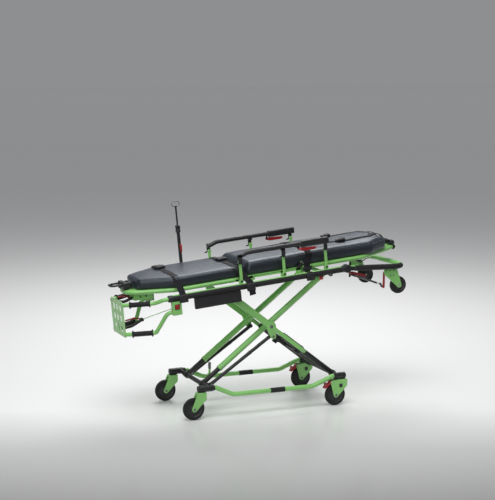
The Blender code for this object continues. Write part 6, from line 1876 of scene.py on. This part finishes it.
def strap(name, points, across, width=STRAP_WIDTH, smooth=0.03):
    """A band of webbing along a path, its width along the `across` direction of the litter."""
    path = [Vector(p) for p in bend(points, smooth, 6)]
    across = Vector(across).normalized()
    last = len(path) - 1
    shape = bmesh.new()
    layer = shape.loops.layers.uv.new("weave")
    rows, lengths, run = [], [], 0.0
    half, thick = width / 2, STRAP_THICKNESS / 2
    outline = [
        (-half, 0), (-half + thick, thick), (half - thick, thick), (half, 0), (half - thick, -thick),
        (-half + thick, -thick)
    ]
    for i, point in enumerate(path):
        tangent = (path[min(i + 1, last)] - path[max(i - 1, 0)]).normalized()
        side = (across - tangent * across.dot(tangent)).normalized()
        up = side.cross(tangent)
        if i:
            run += (point - path[i - 1]).length
        lengths.append(run)
        rows.append([shape.verts.new(LITTER @ (point + side * a + up * b)) for a, b in outline])
    for i in range(last):
        for j in range(6):
            k = (j + 1) % 6
            face = shape.faces.new((rows[i][j], rows[i][k], rows[i + 1][k], rows[i + 1][j]))
            spots = ((i, j), (i, k), (i + 1, k), (i + 1, j))
            for loop, (row, column) in zip(face.loops, spots):
                loop[layer].uv = (outline[column][0], lengths[row])
    shape.faces.new(rows[0][::-1])
    shape.faces.new(rows[-1])
    for face in shape.faces:
        face.smooth = True
    obj = linked(name, shape, ["webbing"], STRAP_ANGLE)
    return obj


def buckle(piece, centre, along, up, width=0.066, length=0.088):
    """A side-release buckle: a body, two wings, a tongue and a ladder bar."""
    centre, along, up = Vector(centre), Vector(along).normalized(), Vector(up).normalized()
    side = up.cross(along)
    turned = Matrix((side, along, up)).transposed().to_4x4()
    keep = piece.place
    piece.place = keep @ Matrix.Translation(centre) @ turned
    half, long = width / 2, length / 2
    piece.block((-half, -long * 0.2, 0.001), (half, long, 0.020), "plastic", EASE_BUCKLE, 3)
    piece.block((-half * 0.62, -long, 0.002), (half * 0.62, 0, 0.016), "plastic", EASE_SOFT, 2)
    for way in (-1, 1):
        piece.block(
            (way * half * 0.72, -long * 0.55, 0.002), (way * half * 1.06, long * 0.3, 0.017), "plastic",
            EASE_SOFT, 2
        )
    piece.block((-half, -long * 1.25, 0.001), (half, -long * 0.9, 0.014), "plastic", EASE_SOFT, 2)
    piece.rod((-half * 0.8, half * 0.8), (long * 0.62, 0.0205), 0.002, "plastic", 10)
    piece.place = keep


def rail_loop(u, sign):
    """Points of webbing round the rail, from its outer top, under it and up inside."""
    r = RAIL_RADIUS + 0.0035
    turns = [math.radians(70 - 25 * i) for i in range(13)]
    return [(u, sign * (RAIL_Y + r * math.cos(turn)), r * math.sin(turn)) for turn in turns]


def rail_wrap(u, sign, from_w):
    """Points of webbing down inside the rail, under it and up its outer face, clear of a folded guard."""
    r = RAIL_RADIUS + 0.0025
    turns = [math.radians(180 + 25 * i) for i in range(11)]
    down = (u, sign * (RAIL_Y - r), from_w)
    return [down] + [(u, sign * (RAIL_Y + r * math.cos(turn)), r * math.sin(turn)) for turn in turns]


def bed_strap(name, surface, near_u, top_us, far_u, tail=0.0, inside=(), locks=()):
    """A strap from the near rail over the cushion to the far rail, with a cinch on each rail."""
    widths = [
        (MATTRESS_FOOT_U, MATTRESS_FOOT_HALF_WIDTH), (LEG_TAPER_U, MATTRESS_HALF_WIDTH),
        (1.0, MATTRESS_HALF_WIDTH)
    ]
    half = width_at(widths, min(top_us))
    edge, count = half - 0.009, STRAP_TOP_POINTS
    over = []
    for i in range(count + 1):
        v = -edge + 2 * edge * i / count
        u = top_us[0] + (top_us[1] - top_us[0]) * i / count
        top = max(height_on(surface, u + d, v) or 0.0 for d in (-STRAP_WIDTH * 0.4, 0.0, STRAP_WIDTH * 0.4))
        over.append((u, v, top + STRAP_LIFT))
    drop = over[0][2] - 0.050
    near = rail_wrap(near_u, -1, drop)[::-1] if -1 in inside else rail_loop(near_u, -1)[::-1]
    far = rail_wrap(far_u, 1, drop) if 1 in inside else rail_loop(far_u, 1)
    sides = []
    for top_u, rail_u, sign, place in ((top_us[0], near_u, -1, over[0]), (top_us[1], far_u, 1, over[-1])):
        sides.append((top_u + (rail_u - top_u) * STRAP_SIDE_SHARE, sign * (half + 0.005), place[2] - 0.026))
    obj = strap(name, [*near, sides[0], *over, sides[1], *far], (1, 0, 0), smooth=0.006)
    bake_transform(obj)
    cinch = Piece(LITTER)
    for sign, u in ((-1, near_u), (1, far_u)):
        y = sign * (RAIL_Y + RAIL_RADIUS + 0.004)
        cinch.block((u - 0.030, y - 0.007, -0.034), (u + 0.030, y + 0.007, 0.016), "plastic", EASE_BLOCK, 3)
        cinch.block(
            (u - 0.025, y - 0.0085, -0.006), (u + 0.025, y + 0.0085, 0.003), "plastic", EASE_PLATE, 2
        )
        if sign in locks:
            lock = sorted(sign * (RAIL_Y - RAIL_RADIUS + d) for d in (-0.0045, 0.0090))
            cinch.block((u - 0.036, lock[0], 0.028), (u + 0.030, lock[1], 0.054), "plastic", EASE_SOFT, 2)
    cinch.done(name + "_cinches", "litter")
    if tail:
        y = -RAIL_Y - RAIL_RADIUS - 0.007
        end = [(near_u, y, 0.0), (near_u + 0.002, y - 0.003, -0.030), (near_u + 0.006, y - 0.001, -tail)]
        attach(strap(name + "_tail", end, (1, 0, 0), smooth=0.02), "litter")
    return over


def anchor_straps(section, end_u, out, mattress_end, surface, wing, frame_w):
    """Two short straps from a cushion's end to fat webbing anchors on the end tube of its section."""
    tie = Piece(LITTER)
    for side, sign in SIDES.items():
        spot = sign * wing
        top = height_on(surface, mattress_end - out * 0.055, spot)
        path = [
            (end_u + out * 0.002, spot, frame_w + SECTION_TUBE_RADIUS + 0.030),
            (mattress_end + out * 0.030, spot, top - 0.050),
            (mattress_end + out * 0.004, spot, top - 0.016),
            (mattress_end - out * 0.020, spot, top - 0.001),
            (mattress_end - out * 0.055, spot, top + STRAP_LIFT),
        ]
        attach(strap(f"strap_{section}_end_{side}", path, (0, 1, 0), HARNESS_WIDTH, 0.02), section)
        ring = SECTION_TUBE_RADIUS + 0.0030
        profile = [(ring - 0.0025, -0.020), (ring, -0.020), (ring, 0.020), (ring - 0.0025, 0.020)]
        tie.turned((end_u, spot, frame_w), (0, 1, 0), profile, "webbing", 28)
        low = (end_u - out * 0.026, spot - 0.026, frame_w + SECTION_TUBE_RADIUS - 0.004)
        tie.block(
            low, (end_u + out * 0.010, spot + 0.026, frame_w + SECTION_TUBE_RADIUS + 0.034), "plastic",
            EASE_ROUND, 4
        )
        low = (end_u - out * 0.018, spot - 0.029, frame_w + SECTION_TUBE_RADIUS + 0.010)
        tie.block(
            low, (end_u + out * 0.0125, spot + 0.029, frame_w + SECTION_TUBE_RADIUS + 0.020), "plastic",
            EASE_SOFT
        )
    tie.done(f"anchors_{section}", section)


def make_straps(surfaces):
    leg, body = surfaces["leg"], surfaces["body"]
    legs = bed_strap(
        "strap_legs", leg, -0.600, (-0.618, -0.612), -0.600, 0, (1,)
    )
    hips = bed_strap("strap_hips", leg, -0.120, (-0.196, -0.182), -0.120, 0.062)
    chest = bed_strap(
        "strap_chest", body, 0.320, (0.352, 0.360), 0.325, 0, (-1, 1), (-1, 1)
    )
    up = (0, 0, 1)
    lift = Vector((0, 0, 0.001))
    on_legs = Piece(LITTER)
    for over, place in ((legs, 16), (hips, 13)):
        buckle(on_legs, Vector(over[place]) + lift, (0.03, -1, 0), up)
    on_legs.done("buckles_legs", "leg_section")
    on_back = Piece(LITTER)
    buckle(on_back, Vector(chest[13]) + lift, (0.03, -1, 0), up)

    def lying(u, v):
        return u, v, height_on(body, u, v) + STRAP_LIFT

    for side, sign in SIDES.items():
        stations = [(MATTRESS_HEAD_U - 0.060, ANCHOR_WING), *HARNESS_ROUTE]
        route = []
        for (u0, v0), (u1, v1) in zip(stations, stations[1:]):
            route += [
                lying(u0 + (u1 - u0) * i / ROUTE_STEPS, sign * (v0 + (v1 - v0) * i / ROUTE_STEPS))
                for i in range(ROUTE_STEPS)
            ]
        route.append(lying(stations[-1][0], sign * stations[-1][1]))
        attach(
            strap(f"strap_shoulder_{side}", route, (0.3 * -sign, 1, 0), HARNESS_WIDTH, 0.03), "back_section"
        )
        buckle_u, buckle_v = HARNESS_ROUTE[HARNESS_BUCKLE]
        buckle(on_back, Vector(lying(buckle_u, sign * buckle_v)) + lift, (1, 0, 0), up, 0.042, 0.056)
    on_back.done("buckles_back", "back_section")
    meet_u = HARNESS_ROUTE[-1][0]
    top_u = meet_u + 0.02
    down = [lying(top_u - (top_u - STERNUM_END_U) * i / DOWN_STEPS, 0.0) for i in range(DOWN_STEPS + 1)]
    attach(strap("strap_sternum", down, (0, 1, 0), HARNESS_WIDTH), "back_section")
    anchor_straps("back_section", BACK_END_U, 1, MATTRESS_HEAD_U, body, ANCHOR_WING, BACK_FRAME_W)


# Stage


SWEEP_DIRECTION = (0.383, 0.924, 0)
SWEEP_FRONT = -2.2
SWEEP_BACK = 3.0
FLOOR_SIZE = 160
FLOOR_DROP = 0.0005
FLOOR_ROUGH = 0.16
FLOOR_SPECULAR = 0.28
# Greys of the floor from front to back: painted light and shade, darker in front and brighter behind the
# cot.
FLOOR_PAINTED_LIGHT_STOPS = [(0.0, 0.30), (0.20, 0.52), (0.38, 0.86), (0.65, 0.88), (1.0, 0.90)]
SKY_COLOUR = (0.97, 0.98, 1.0, 1)
SKY_STRENGTH = 0.28
LAMPS = (
    ("key", (-1.0, -1.8, 4.8), (0.0, 0.0, 0.6), 3.2, 185),
    ("fill", (-4.5, -5.0, 2.6), (0.0, 0.0, 0.6), 3.0, 95),
    ("back", (1.4, 3.1, 4.6), (0.9, 2.4, 0.0), 3.4, 215),
)
CAMERA_SENSOR = 36
CAMERA_LENS = 100.5
CAMERA_SHIFT = (0.0178, -0.002)
CAMERA_PLACE = (-3.707 - MIDDLE_X, -8.731, 2.432)
CAMERA_DIP = 8.1
CAMERA_TURN = -22.54


def make_stage():
    bpy.ops.mesh.primitive_plane_add(size=1)
    floor = bpy.context.object
    floor.name = "floor"
    floor.scale = (FLOOR_SIZE, FLOOR_SIZE, 1)
    floor.location = (0, 0, -FLOOR_DROP)
    material = bpy.data.materials.new("floor_painted_light")
    material.use_nodes = True
    nodes, links = material.node_tree.nodes, material.node_tree.links
    shader = nodes["Principled BSDF"]
    shader.inputs["Roughness"].default_value = FLOOR_ROUGH
    shader.inputs["Specular IOR Level"].default_value = FLOOR_SPECULAR
    # The floor's colour runs from dark in front to pale behind: painted light and shade on the floor.
    where = nodes.new("ShaderNodeNewGeometry")
    depth = nodes.new("ShaderNodeVectorMath")
    depth.operation = "DOT_PRODUCT"
    depth.inputs[1].default_value = SWEEP_DIRECTION
    links.new(where.outputs["Position"], depth.inputs[0])
    spread = nodes.new("ShaderNodeMapRange")
    spread.inputs["From Min"].default_value = SWEEP_FRONT
    spread.inputs["From Max"].default_value = SWEEP_BACK
    links.new(depth.outputs["Value"], spread.inputs["Value"])
    ramp = nodes.new("ShaderNodeValToRGB")
    while len(ramp.color_ramp.elements) < len(FLOOR_PAINTED_LIGHT_STOPS):
        ramp.color_ramp.elements.new(0.5)
    for element, (position, grey) in zip(ramp.color_ramp.elements, FLOOR_PAINTED_LIGHT_STOPS):
        element.position = position
        element.color = (grey, grey, grey, 1)
    links.new(spread.outputs["Result"], ramp.inputs["Fac"])
    links.new(ramp.outputs["Color"], shader.inputs["Base Color"])
    floor.data.materials.append(material)
    world = bpy.data.worlds.new("studio")
    bpy.context.scene.world = world
    world.use_nodes = True
    sky = world.node_tree.nodes["Background"]
    sky.inputs["Color"].default_value = SKY_COLOUR
    sky.inputs["Strength"].default_value = SKY_STRENGTH
    for name, spot, aim, size, power in LAMPS:
        light = bpy.data.lights.new(name, "AREA")
        light.size = size
        light.energy = power
        lamp = bpy.data.objects.new(name, light)
        lamp.location = spot
        lamp.rotation_euler = (Vector(aim) - Vector(spot)).to_track_quat("-Z", "Y").to_euler()
        bpy.context.scene.collection.objects.link(lamp)


def make_camera():
    camera = bpy.data.cameras.new("camera")
    camera.sensor_width = CAMERA_SENSOR
    camera.lens = CAMERA_LENS
    camera.shift_x, camera.shift_y = CAMERA_SHIFT
    viewer = bpy.data.objects.new("camera", camera)
    viewer.location = CAMERA_PLACE
    viewer.rotation_euler = (math.radians(90 - CAMERA_DIP), 0, math.radians(CAMERA_TURN))
    bpy.context.scene.collection.objects.link(viewer)
    bpy.context.scene.camera = viewer


def main():
    make_camera()
    for side, sign in SIDES.items():
        for end in ("foot", "head"):
            make_caster(end, side, sign)
        make_base_tube(side, sign)
        make_side_rail(side, sign)
        make_guard(side, sign)
    make_yoke("foot_yoke", FOOT_PIVOT_X, FOOT_STEM_X)
    make_yoke("head_yoke", HEAD_PIVOT_X, HEAD_STEM_X)
    make_bump_post()
    make_leg_a()
    make_leg_b()
    make_struts()
    make_head_cross()
    make_side_panel()
    make_seat_deck()
    make_leg_frame()
    make_back_frame()
    make_handle_frame()
    make_buttons()
    make_grips()
    make_releases()
    make_pole()
    make_hoop()
    make_straps(make_mattress())
    make_stage()
    bpy.context.scene.view_settings.view_transform = "Standard"


main()
